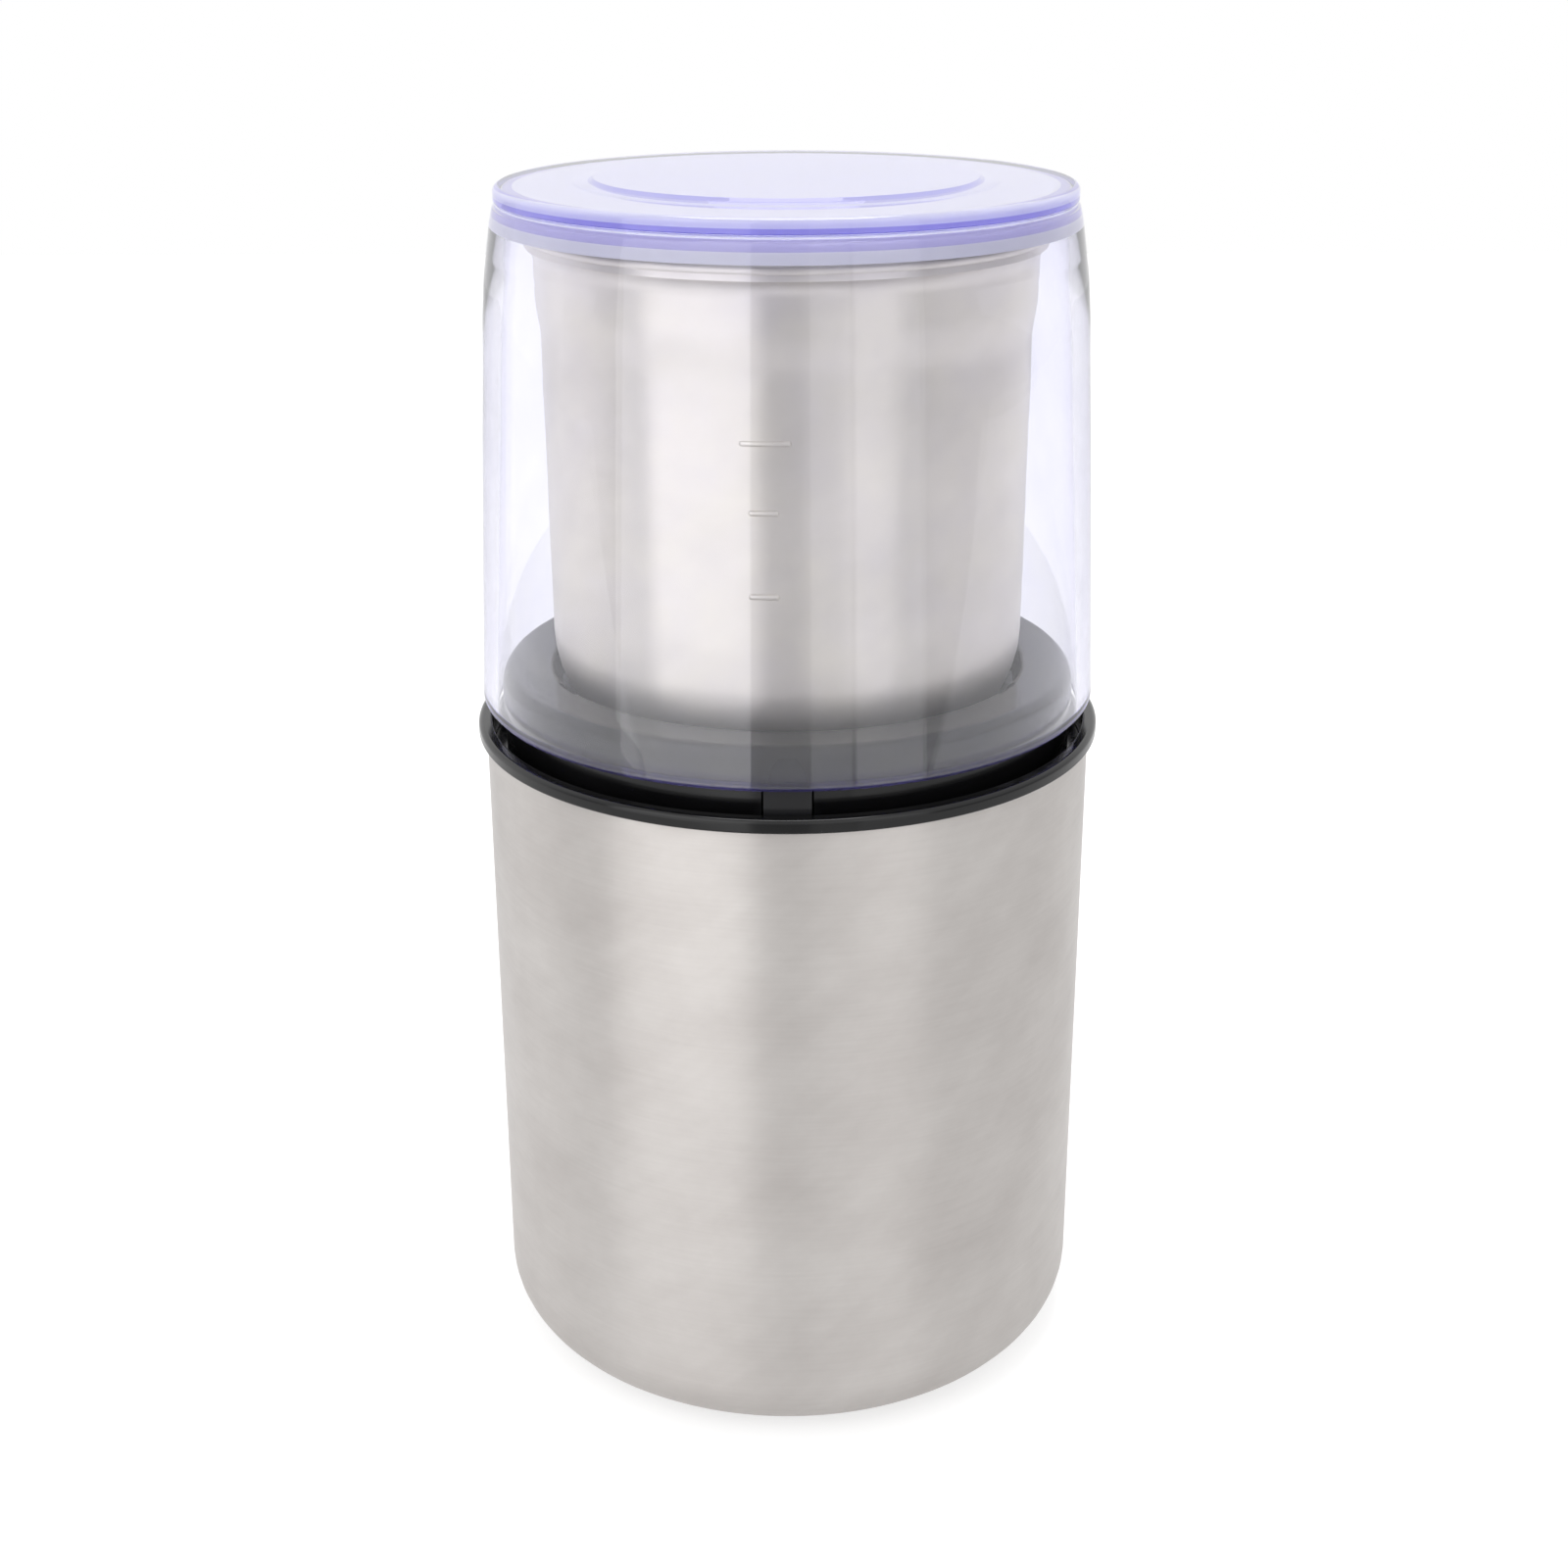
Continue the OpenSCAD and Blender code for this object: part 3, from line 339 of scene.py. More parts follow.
def castOrPlatedMetal(name, look):
    # Zinc plate, die-cast alloy, sintered bronze or brass: an even metal with a fine crystalline or
    # sandy skin
    material, tree, place = startMaterial(name)
    skin = grain(tree, place, (look["grit"],) * 3, detail=3.0)
    stain = grain(tree, place, (look["stain"],) * 3)
    mottle = addNode(tree, "ShaderNodeMapRange", noiseSpan | {"Value": stain})
    colour = addNode(tree, "ShaderNodeMix", {
        0: mottle.outputs["Result"], 6: hexColour(look["dark"]), 7: hexColour(look["light"])},
        data_type="RGBA")
    rough = addNode(tree, "ShaderNodeMapRange", noiseSpan | {
        "Value": stain,
        "To Min": look["roughness"] - look["uneven"], "To Max": look["roughness"] + look["uneven"]})
    bump = addNode(tree, "ShaderNodeBump", {
        "Height": skin, "Strength": look["bump"], "Distance": mm(look["gritDepth"])})
    metal = addNode(tree, "ShaderNodeBsdfPrincipled", {
        "Base Color": colour.outputs[2], "Metallic": 1.0, "Roughness": rough.outputs["Result"],
        "Normal": bump.outputs["Normal"]})
    addNode(tree, "ShaderNodeOutputMaterial", {"Surface": metal.outputs["BSDF"]})
    return material


def layeredMetal(name, look):
    # Stacked laminations or wound wire: level bands one sheet or one wire thick, under varnish or enamel
    material, tree, place = startMaterial(name)
    bandScale = math.pi / (10 * mm(look["pitch"]))  # a wave's bands lie pi / (10 * scale) apart
    bands = addNode(tree, "ShaderNodeTexWave", {
        "Vector": place, "Scale": bandScale, "Distortion": look["waver"],
        "Detail": 2.0, "Detail Scale": 0.5}, bands_direction=look["across"])
    stain = grain(tree, place, (look["stain"],) * 3)
    colour = addNode(tree, "ShaderNodeMix", {
        0: bands.outputs["Fac"], 6: hexColour(look["dark"]), 7: hexColour(look["light"])}, data_type="RGBA")
    rough = addNode(tree, "ShaderNodeMapRange", noiseSpan | {
        "Value": stain,
        "To Min": look["roughness"] - look["uneven"], "To Max": look["roughness"] + look["uneven"]})
    bump = addNode(tree, "ShaderNodeBump", {
        "Height": bands.outputs["Fac"], "Strength": look["bump"], "Distance": mm(look["depth"])})
    metal = addNode(tree, "ShaderNodeBsdfPrincipled", {
        "Base Color": colour.outputs[2], "Metallic": 1.0, "Roughness": rough.outputs["Result"],
        "Normal": bump.outputs["Normal"], "Coat Weight": look["varnish"],
        "Coat Roughness": look["varnishRoughness"]})
    addNode(tree, "ShaderNodeOutputMaterial", {"Surface": metal.outputs["BSDF"]})
    return material


def clearStyrene(name, look):
    # Clear moulded styrene-acrylic with a violet tint: pale and thin on the flat. Deep violet is painted on
    # along the flange's edge: painted light for the light that comes out there after running through the
    # whole top. The underside of the top is frosted, so it looks milky
    material, tree, place = startMaterial(name)
    axes = addNode(tree, "ShaderNodeSeparateXYZ", {"Vector": place})
    height = axes.outputs["Z"]
    across = addNode(tree, "ShaderNodeCombineXYZ", {"X": axes.outputs["X"], "Y": axes.outputs["Y"]})
    radius = addNode(tree, "ShaderNodeVectorMath", {
        0: across.outputs[0]}, operation="LENGTH").outputs["Value"]
    flow = grain(tree, place, (look["flow"],) * 3, detail=3.0)
    mottle = addNode(tree, "ShaderNodeMapRange", noiseSpan | {"Value": flow})
    pale = addNode(tree, "ShaderNodeMix", {
        0: mottle.outputs["Result"], 6: hexColour(look["tint"]), 7: hexColour(look["clear"])},
        data_type="RGBA")
    # The rim, where violet light is painted on: all of the flange's and the open edge's outside, and more
    # and more of the shoulder's
    outer = addNode(tree, "ShaderNodeMapRange", {
        "Value": radius,
        "From Min": mm(look["edgeRadius"] - look["edgeFade"]), "From Max": mm(look["edgeRadius"])})
    shoulder = addNode(tree, "ShaderNodeMapRange", {
        "Value": height, "From Min": mm(look["shoulderFoot"]), "From Max": mm(look["edgeHeight"]),
        "To Max": look["shoulderShare"]})
    flange = addNode(tree, "ShaderNodeMath", {
        0: height, 1: mm(look["edgeHeight"]), 2: mm(look["edgeBand"])}, operation="COMPARE")
    foot = addNode(tree, "ShaderNodeMath", {
        0: height, 1: mm(look["footHeight"]), 2: mm(look["footBand"])}, operation="COMPARE")
    ends = addNode(tree, "ShaderNodeMath", {0: flange.outputs[0], 1: foot.outputs[0]}, operation="MAXIMUM")
    upper = addNode(tree, "ShaderNodeMath", {
        0: shoulder.outputs["Result"], 1: ends.outputs[0]}, operation="MAXIMUM")
    rim = addNode(tree, "ShaderNodeMath", {
        0: outer.outputs["Result"], 1: upper.outputs[0]}, operation="MULTIPLY")
    # The raised field's edge, where a violet highlight line is painted on
    field = addNode(tree, "ShaderNodeMath", {
        0: radius, 1: mm(look["fieldRadius"]), 2: mm(look["fieldBand"])}, operation="COMPARE")
    edge = addNode(tree, "ShaderNodeMath", {
        0: field.outputs[0], 1: look["fieldShare"], 2: rim.outputs[0]}, operation="MULTIPLY_ADD")
    # Paints the violet light on over the pale tint
    tintAndPaintedLight = addNode(tree, "ShaderNodeMix", {
        0: edge.outputs[0], 6: pale.outputs[2], 7: hexColour(look["paintedEdgeLight"])}, data_type="RGBA")
    # Where the wall turns away, light crosses more of it and comes out more violet. That violet is painted
    # on, by how far the surface faces away
    facing = addNode(tree, "ShaderNodeLayerWeight", {"Blend": 0.5}).outputs["Facing"]
    graze = addNode(tree, "ShaderNodeMapRange", {
        "Value": facing, "From Min": look["grazeFrom"], "To Max": look["grazeShare"]})
    colour = addNode(tree, "ShaderNodeMix", {
        0: graze.outputs["Result"], 6: tintAndPaintedLight.outputs[2], 7: hexColour(look["paintedGrazeLight"])}, data_type="RGBA")
    rough = addNode(tree, "ShaderNodeMapRange", noiseSpan | {
        "Value": flow,
        "To Min": look["roughness"] - look["uneven"], "To Max": look["roughness"] + look["uneven"]})
    bump = addNode(tree, "ShaderNodeBump", {"Height": flow, "Strength": 0.25, "Distance": mm(look["ripple"])})
    polished = addNode(tree, "ShaderNodeBsdfPrincipled", {
        "Base Color": colour.outputs[2], "Roughness": rough.outputs["Result"], "IOR": look["ior"],
        "Transmission Weight": look["clarity"], "Normal": bump.outputs["Normal"]})
    # A band of painted violet light round the bend of the frosted underside
    bend = addNode(tree, "ShaderNodeMath", {
        0: height, 1: mm(look["bendHeight"]), 2: mm(look["bendBand"])}, operation="COMPARE")
    milk = addNode(tree, "ShaderNodeMix", {
        0: bend.outputs[0], 6: hexColour(look["milk"]), 7: hexColour(look["paintedBendLight"])}, data_type="RGBA")
    frosted = addNode(tree, "ShaderNodeBsdfPrincipled", {
        "Base Color": milk.outputs[2], "Roughness": look["frost"], "IOR": look["ior"],
        "Transmission Weight": look["frostClear"]})
    level = addNode(tree, "ShaderNodeMath", {
        0: height, 1: mm(look["frostHeight"]), 2: mm(look["frostDepth"])}, operation="COMPARE")
    within = addNode(tree, "ShaderNodeMath", {0: radius, 1: mm(look["frostReach"])}, operation="LESS_THAN")
    under = addNode(tree, "ShaderNodeMath", {0: level.outputs[0], 1: within.outputs[0]}, operation="MULTIPLY")
    surface = addNode(tree, "ShaderNodeMixShader", {
        0: under.outputs[0], 1: polished.outputs["BSDF"], 2: frosted.outputs["BSDF"]})
    inside = addNode(tree, "ShaderNodeVolumeAbsorption", {
        "Color": hexColour(look["deep"]), "Density": look["density"]})
    addNode(tree, "ShaderNodeOutputMaterial", {
        "Surface": surface.outputs[0], "Volume": inside.outputs["Volume"]})
    return material


# Sizes of patterns and depths are in mm. The steel's grain is drawn 0.5 mm wide, coarser than the real
# 0.1 mm, so that it shows
steelLook = {
    "dark": "#C0BBB8", "light": "#D2CECB", "grainLong": 12, "grainFine": 0.5, "grainDepth": 0.001,
    "bump": 0.1, "lineShare": 0.34, "cloud": 26, "wipeShare": 0.2, "wipeTilt": 0.7,
    "marksFrom": 0.34, "marksTo": 0.66,
    "cloudShape": (1, 1, 0.8), "wipeShape": (1, 0.5, 0.12),  # in X, Y and Z, as shares of cloud
    "roughness": 0.42, "uneven": 0.03, "stretch": 0.85}
# From wearFrom on, a raised edge of plastic starts to look rubbed, and from wearTo on it is as rubbed as
# rub says
plasticLook = {
    "dark": "#1A1A1D", "light": "#242427", "texture": 0.5, "textureDepth": 0.03, "bump": 0.35, "flow": 14,
    "roughness": 0.4, "uneven": 0.04, "ior": 1.53, "wearFrom": 0.51, "wearTo": 0.56, "rub": 0.25}
metalLook = {
    "dark": "#B2B3B5", "light": "#CBCCCE", "grit": 0.4, "gritDepth": 0.01, "bump": 0.3, "stain": 7,
    "roughness": 0.3, "uneven": 0.06}
layerLook = {"stain": 6, "bump": 0.7, "roughness": 0.42, "uneven": 0.08, "varnishRoughness": 0.15}
rubberLook = {  # real skin is finer, drawn at 0.35 mm so that it shows
    "skin": 0.35, "skinDepth": 0.03, "bump": 0.5, "roughness": 0.72, "uneven": 0.1}
lidLook = {
    "tint": "#FAFAFF", "clear": "#FFFFFF", "deep": "#8E88F4", "density": 19.0, "ior": 1.55, "clarity": 0.975,
    "roughness": 0.015, "uneven": 0.0075, "flow": 9, "ripple": 0.012,
    # The frosted underside of the top, and the bend round it, where violet light is painted on
    "milk": "#F8F9FF", "paintedBendLight": "#C2BDEC", "frost": 0.4, "frostClear": 0.12, "frostHeight": 193.5,
    "frostDepth": 1.85, "frostReach": 44.2, "bendHeight": 194.1, "bendBand": 0.75,
    # Where violet light is painted on: the flange, the shoulder, the open edge, the raised field, and walls
    # that turn away
    "paintedEdgeLight": "#7F76DE", "edgeRadius": 45.0, "edgeFade": 0.6, "edgeHeight": 196.35, "edgeBand": 0.4,
    "shoulderShare": 0.22, "shoulderFoot": 184, "footHeight": 116.6, "footBand": 0.7, "fieldRadius": 30.1,
    "fieldBand": 0.4, "fieldShare": 0.6, "paintedGrazeLight": "#B4ACF2", "grazeFrom": 0.72, "grazeShare": 0.6}

finishes = {
    "sleeve_steel": brushedSteel("brushedSleeveSteel", steelLook),
    "cup_steel": brushedSteel("satinCupSteel", steelLook | {
        "dark": "#E1DCD1", "light": "#EDE8DC", "grainLong": 10, "cloud": 20, "lineShare": 0.2,
        "roughness": 0.38}),
    "gloss_black": mouldedPlastic("glossBlackAbs", plasticLook | {
        "dark": "#0B0B0C", "light": "#101011", "texture": 1.6, "flow": 20, "roughness": 0.15, "uneven": 0.03,
        "ior": 1.42, "textureDepth": 0.004, "bump": 0.3, "rubbed": "#333336", "rub": 0.3}),
    "dark_plastic": mouldedPlastic("sparkErodedAbs", plasticLook | {"rubbed": "#3A3A3E"}),
    "clear_lid": clearStyrene("violetStyrene", lidLook),
    "foot_rubber": softRubber("greyFootRubber", rubberLook | {
        "dark": "#2E2E30", "light": "#3C3C3F", "dust": 3.0}),
    "mount_rubber": softRubber("blackMountRubber", rubberLook | {
        "dark": "#1E1E20", "light": "#2A2A2C", "dust": 4.0}),
    "seal_rubber": softRubber("redSealSilicone", rubberLook | {
        "dark": "#6E2A24", "light": "#84362E", "dust": 2.0}),
    "screw_steel": castOrPlatedMetal("zincPlate", metalLook),
    "die_cast": castOrPlatedMetal("dieCastAlloy", metalLook | {
        "dark": "#A3A5A8", "light": "#BABCBF", "grit": 0.8, "roughness": 0.45, "gritDepth": 0.04}),
    "sintered_bronze": castOrPlatedMetal("sinteredBronze", metalLook | {
        "dark": "#96703E", "light": "#B48A54", "grit": 0.3, "stain": 3, "roughness": 0.5, "gritDepth": 0.03}),
    "lamination_steel": layeredMetal("varnishedLaminations", layerLook | {
        "dark": "#4A4C50", "light": "#8B8E93", "pitch": 0.5, "waver": 0.2, "across": "Z", "depth": 0.05,
        "varnish": 0.3}),
    "copper_wire": layeredMetal("enamelledCopper", layerLook | {
        "dark": "#7E3D1C", "light": "#C9743C", "pitch": 0.4, "waver": 1.2, "across": "DIAGONAL", "stain": 5,
        "depth": 0.12, "roughness": 0.34, "varnish": 0.5}),
    "copper_bar": castOrPlatedMetal("turnedCopper", metalLook | {
        "dark": "#A8643C", "light": "#C98252", "grit": 0.25, "stain": 4, "roughness": 0.32}),
    "brass_tube": castOrPlatedMetal("pressedBrass", metalLook | {
        "dark": "#B89448", "light": "#D3B065", "stain": 5, "roughness": 0.28}),
    "carbon": mouldedPlastic("pressedCarbon", plasticLook | {
        "dark": "#19191A", "light": "#2B2B2C", "texture": 0.3, "flow": 2, "roughness": 0.6}),
    "spring_steel": castOrPlatedMetal("springWire", metalLook | {
        "dark": "#C2C3C5", "light": "#DADBDD", "roughness": 0.2}),
    "switch_plastic": mouldedPlastic("phenolicCase", plasticLook | {
        "dark": "#31363A", "light": "#3B4146", "texture": 0.4, "flow": 6, "roughness": 0.42, "ior": 1.6}),
    "switch_red": mouldedPlastic("redAcetal", plasticLook | {
        "dark": "#B0321F", "light": "#C53C29", "texture": 0.4, "flow": 3, "roughness": 0.35}),
    "lever_steel": brushedSteel("rolledLeverSteel", steelLook | {
        "grainLong": 8, "grainFine": 0.2, "cloud": 4}),
    "shaft_steel": brushedSteel("groundShaftSteel", steelLook | {
        "dark": "#B4B5B7", "light": "#CFD0D2", "grainLong": 6, "grainFine": 0.15, "cloud": 6,
        "roughness": 0.3}),
    "coupling_nylon": mouldedPlastic("naturalNylon", plasticLook | {
        "dark": "#DAD7CE", "light": "#E8E6DF", "texture": 0.6, "flow": 5, "roughness": 0.42,
        "rubbed": "#F2F1EC"}),
    "blade_steel": brushedSteel("groundBladeSteel", steelLook | {
        "dark": "#BFC0C2", "light": "#DDDEE0", "grainLong": 5, "grainFine": 0.2, "cloud": 5,
        "roughness": 0.26, "stretch": 0.5}),
    "fan_plastic": mouldedPlastic("glassFilledNylon", plasticLook | {
        "dark": "#2B2B2E", "light": "#3A3A3D", "texture": 0.35, "flow": 4, "roughness": 0.55}),
}
for part in frame["record"]["subparts"]:
    for holder in frame["nodes"][part["node"]].material_slots:
        holder.material = finishes[part["material_slot"]]
print("materials made:", len(finishes))


turning = {"segments": 256, "arcStep": 9}  # arcStep is the most degrees that one facet of a rounding turns


def arcPoints(x, z, radius, start, end):
    steps = max(2, math.ceil(abs(end - start) / turning["arcStep"]))
    angles = [math.radians(start + (end - start) * i / steps) for i in range(steps + 1)]
    return [(x + radius * math.cos(a), z + radius * math.sin(a)) for a in angles]


# Outline points are (r, z) or (r, z, rounding), all in mm, and the loop closes on itself
def roundCorners(outline):
    points = []
    for i, point in enumerate(outline):
        here = Vector(point[:2])
        if len(point) == 2 or point[2] == 0:
            points.append(tuple(here))
            continue
        before = (Vector(outline[i - 1][:2]) - here).normalized()
        after = (Vector(outline[(i + 1) % len(outline)][:2]) - here).normalized()
        corner = before.angle(after)
        reach = point[2] / math.tan(corner / 2)
        centre = here + (before + after).normalized() * point[2] / math.sin(corner / 2)
        first, last = here + before * reach - centre, here + after * reach - centre
        turn = first.angle_signed(last)
        steps = max(2, math.ceil(math.degrees(abs(turn)) / turning["arcStep"]))
        for k in range(steps + 1):
            c, s = math.cos(-turn * k / steps), math.sin(-turn * k / steps)
            points.append(tuple(centre + Vector((first.x * c - first.y * s, first.x * s + first.y * c))))
    return points


# Revolves a closed loop of (r, z) points about an upright axis
def turnedMesh(bm, points, segments, centre=(0, 0)):
    rings = []
    for r, z in points:
        if r < 1e-6:
            rings.append([bm.verts.new((mm(centre[0]), mm(centre[1]), mm(z)))])
            continue
        rings.append([bm.verts.new((
            mm(centre[0] + r * math.cos(2 * math.pi * k / segments)),
            mm(centre[1] + r * math.sin(2 * math.pi * k / segments)), mm(z))) for k in range(segments)])
    for i, ring in enumerate(rings):
        following = rings[(i + 1) % len(rings)]
        if len(ring) == 1 and len(following) == 1:
            continue
        for k in range(segments):
            n = (k + 1) % segments
            corners = [ring[k % len(ring)], ring[n % len(ring)],
                       following[n % len(following)], following[k % len(following)]]
            unique = [v for j, v in enumerate(corners) if v not in corners[:j]]
            bm.faces.new(unique)


# Makes a piece of a mesh: its material, body and the solids it replaces. An edge stays crisp from the
# angle sharp, in degrees
def finishPiece(name, bm, slot, body, replaced=(), sharp=32):
    bmesh.ops.remove_doubles(bm, verts=bm.verts, dist=1e-7)
    bmesh.ops.recalc_face_normals(bm, faces=bm.faces)
    for face in bm.faces:
        face.smooth = True
    for edge in bm.edges:
        if edge.is_manifold and edge.calc_face_angle() > math.radians(sharp):
            edge.smooth = False
    mesh = bpy.data.meshes.new(name)
    bm.to_mesh(mesh)
    bm.free()
    mesh.materials.append(finishes[slot])
    piece = bpy.data.objects.new(name, mesh)
    scene.collection.objects.link(piece)
    even = piece.modifiers.new("evenShading", "WEIGHTED_NORMAL")
    even.keep_sharp = True
    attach(piece, body)
    if replaced:
        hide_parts(*replaced)
    return piece


# The sleeve is drawn sheet, folded in under the foot to a lip that holds the cover
sleeveShape = {
    "topRadius": 50.2, "footRadius": 50.5, "top": 110.4, "bottom": 1.0, "footCurve": 10, "sheet": 0.5,
    "lipRadius": 34, "lipHeight": 3.2, "lipStep": 37.2, "foldLean": 0.6, "foldRounding": 0.5,
    "insideFold": (1.0, 0.3), "insideRounding": 0.3, "cutRounding": 0.15, "topRounding": 0.12,
    "cordHeight": 24, "cordHole": 5.2, "drillAt": 50, "drillLong": 12, "drillSides": 64}


def makeSleeve(shape):
    sheet, curve = shape["sheet"], shape["footCurve"]
    x, z = shape["footRadius"] - curve, shape["bottom"] + curve
    foldLow, foldHigh = shape["insideFold"]
    outline = [(shape["lipRadius"], shape["lipHeight"], shape["cutRounding"]),
               (shape["lipStep"], shape["lipHeight"], shape["foldRounding"]),
               (shape["lipStep"] + shape["foldLean"], shape["bottom"], shape["foldRounding"])]
    outline += arcPoints(x, z, curve, -90, 0)
    outline += [(shape["topRadius"], shape["top"], shape["topRounding"]),
                (shape["topRadius"] - sheet, shape["top"], shape["topRounding"])]
    outline += arcPoints(x, z, curve - sheet, 0, -90)
    outline += [(shape["lipStep"] + foldLow, shape["bottom"] + sheet, shape["insideRounding"]),
                (shape["lipStep"] + foldHigh, shape["lipHeight"] + sheet, shape["insideRounding"]),
                (shape["lipRadius"], shape["lipHeight"] + sheet, shape["cutRounding"])]
    bm = bmesh.new()
    turnedMesh(bm, roundCorners(outline), turning["segments"])
    sleeve = finishPiece("steelSleeve", bm, "sleeve_steel", "base", ["outer_sleeve"])
    # The hole for the cord's gland, through the back
    drill = bmesh.new()
    bmesh.ops.create_cone(
        drill, cap_ends=True, segments=shape["drillSides"],
        radius1=mm(shape["cordHole"]), radius2=mm(shape["cordHole"]), depth=mm(shape["drillLong"]),
        matrix=Matrix.Translation((0, mm(shape["drillAt"]), mm(shape["cordHeight"])))
        @ Matrix.Rotation(math.pi / 2, 4, "X"))
    cutterMesh = bpy.data.meshes.new("cordHoleDrill")
    drill.to_mesh(cutterMesh)
    drill.free()
    cutter = bpy.data.objects.new("cordHoleDrill", cutterMesh)
    scene.collection.objects.link(cutter)
    hole = sleeve.modifiers.new("cordHole", "BOOLEAN")
    hole.operation = "DIFFERENCE"
    hole.object = cutter
    sleeve.modifiers.move(1, 0)
    bpy.context.view_layer.update()
    drilled = bpy.data.meshes.new_from_object(sleeve.evaluated_get(bpy.context.evaluated_depsgraph_get()))
    sleeve.modifiers.clear()
    sleeve.data = drilled
    bpy.data.objects.remove(cutter)


# The ring sits on the sleeve's edge, and its hook goes down inside the sleeve. The crown is its outer
# top edge
ringShape = {
    "outer": 51.5, "inner": 49.2, "top": 112.7, "under": 110.45, "hook": 49.65, "hookFoot": 107.6,
    "crownRounding": 0.9, "innerRounding": 0.4, "underRounding": 0.3, "hookRounding": 0.1,
    "cornerRounding": 0.05}


def makeTrimRing(shape):
    outline = [(shape["inner"], shape["hookFoot"], shape["hookRounding"]),
               (shape["hook"], shape["hookFoot"], shape["hookRounding"]),
               (shape["hook"], shape["under"], shape["cornerRounding"]),
               (shape["outer"], shape["under"], shape["underRounding"]),
               (shape["outer"], shape["top"], shape["crownRounding"]),
               (shape["inner"], shape["top"], shape["innerRounding"])]
    bm = bmesh.new()
    turnedMesh(bm, roundCorners(outline), turning["segments"])
    finishPiece("blackTrimRing", bm, "gloss_black", "base", ["trim_ring"])


# Feet with round grip grooves in the sole, and a peg with a barb that holds above the cover
footShape = {
    "at": 29, "soleRadius": 4.1, "soleRounding": 0.5, "seatRadius": 4.4, "seat": 2.0, "seatRounding": 0.15,
    "pegRadius": 1.5, "pegRounding": 0.1, "pegTip": 1.2, "pegTop": 4.6, "tipRounding": 0.2,
    "coverTop": 3.2, "play": 0.1, "barb": 0.7, "barbTall": 0.2,
    "grooves": (1.2, 2.4), "grooveWidth": 0.55, "grooveLean": 0.15, "grooveDepth": 0.25, "segments": 48}


def makeFeet(shape):
    lean, width, depth = shape["grooveLean"], shape["grooveWidth"], shape["grooveDepth"]
    peg, barbFoot = shape["pegRadius"], shape["coverTop"] + shape["play"]
    outline = [(0, 0)]
    for r in shape["grooves"]:
        outline += [(r, 0), (r + lean, depth), (r + width - lean, depth), (r + width, 0)]
    outline += [(shape["soleRadius"], 0, shape["soleRounding"]),
                (shape["seatRadius"], shape["seat"], shape["seatRounding"]),
                (peg, shape["seat"], shape["pegRounding"]), (peg, barbFoot),
                (peg + shape["barb"], barbFoot + shape["barbTall"], shape["pegRounding"]),
                (shape["pegTip"], shape["pegTop"], shape["tipRounding"]), (0, shape["pegTop"])]
    points = roundCorners(outline)
    bm = bmesh.new()
    for corner in range(4):
        angle = math.radians(45 + 90 * corner)
        centre = (shape["at"] * math.cos(angle), shape["at"] * math.sin(angle))
        turnedMesh(bm, points, shape["segments"], centre)
    finishPiece("rubberFeet", bm, "foot_rubber", "base", ["rubber_feet"])


makeSleeve(sleeveShape)
makeTrimRing(ringShape)
makeFeet(footShape)
print("motor base dressed")


# Three coil springs round the seat, closed at both ends, which the lid presses together
springShape = {
    "at": 45.35, "angles": [0, 120, 240], "bottom": 87.55, "height": 14.5, "wire": 0.3, "coil": 1.2,
    "turns": 8, "closedTurns": 0.75, "stroke": 3.5, "sides": 10, "stepsPerTurn": 30}


def makePushSprings(shape):
    bm = bmesh.new()
    turns, closed, wire, sides = shape["turns"], shape["closedTurns"], shape["wire"], shape["sides"]
    rise = shape["height"] - 2 * wire
    pitch = (rise - 4 * wire * closed) / (turns - 2 * closed)
    steps = turns * shape["stepsPerTurn"]
    for place in shape["angles"]:
        centre = Vector((math.cos(math.radians(place)), math.sin(math.radians(place)), 0)) * shape["at"]
        rings = []
        for i in range(steps + 1):
            t = turns * i / steps
            z = shape["bottom"] + wire + 2 * wire * (min(t, closed) + max(t - turns + closed, 0))
            z += pitch * min(max(t - closed, 0), turns - 2 * closed)
            outward = Vector((math.cos(2 * math.pi * t), math.sin(2 * math.pi * t), 0))
            middle = centre + outward * shape["coil"] + Vector((0, 0, z))
            ring = []
            for k in range(sides):
                a = 2 * math.pi * k / sides
                ring.append(bm.verts.new(mm(
                    middle + outward * wire * math.cos(a) + Vector((0, 0, wire * math.sin(a))))))
            rings.append(ring)
        for ring, following in zip(rings, rings[1:]):
            for k in range(sides):
                n = (k + 1) % sides
                bm.faces.new((ring[k], ring[n], following[n], following[k]))
        bm.faces.new(rings[0][::-1])
        bm.faces.new(rings[-1])
    springs = finishPiece("pushSprings", bm, "spring_steel", "base", ["push_springs"], sharp=60)
    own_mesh(springs)


makePushSprings(springShape)
print("push springs wound")


cupShape = {
    "radius": 38.3, "bottom": 109.5, "rim": 191.2, "sheet": 0.6, "bottomCurve": 19, "hole": 8.6,
    "taper": 0.3,                                                   # how much wider the wall is at the step
    "step": 1.0, "stepBelowRim": 16.8, "stepHeight": 7.6, "stepPoints": 10,
    "funnel": 3.4, "funnelTall": 5, "funnelEnd": 126,               # the flare under the rim, to that angle
    "bead": 0.8, "beadOut": 0.6, "beadFrom": -45, "beadTo": 150}    # the rolled rim, between two angles
# Raised strokes pressed out of the cup's front, each at its height and from one x to another, in mm
fillMarks = {
    "strokes": [(165.9, -6.4, 0.3), (155.7, -5.1, -1.5), (143.1, -5.1, -1.5)], "width": 0.9, "tall": 1.17,
    "proud": 0.32, "sunk": 0.08, "crown": 0.7, "thick": 0.3, "columns": 36, "rows": 10}


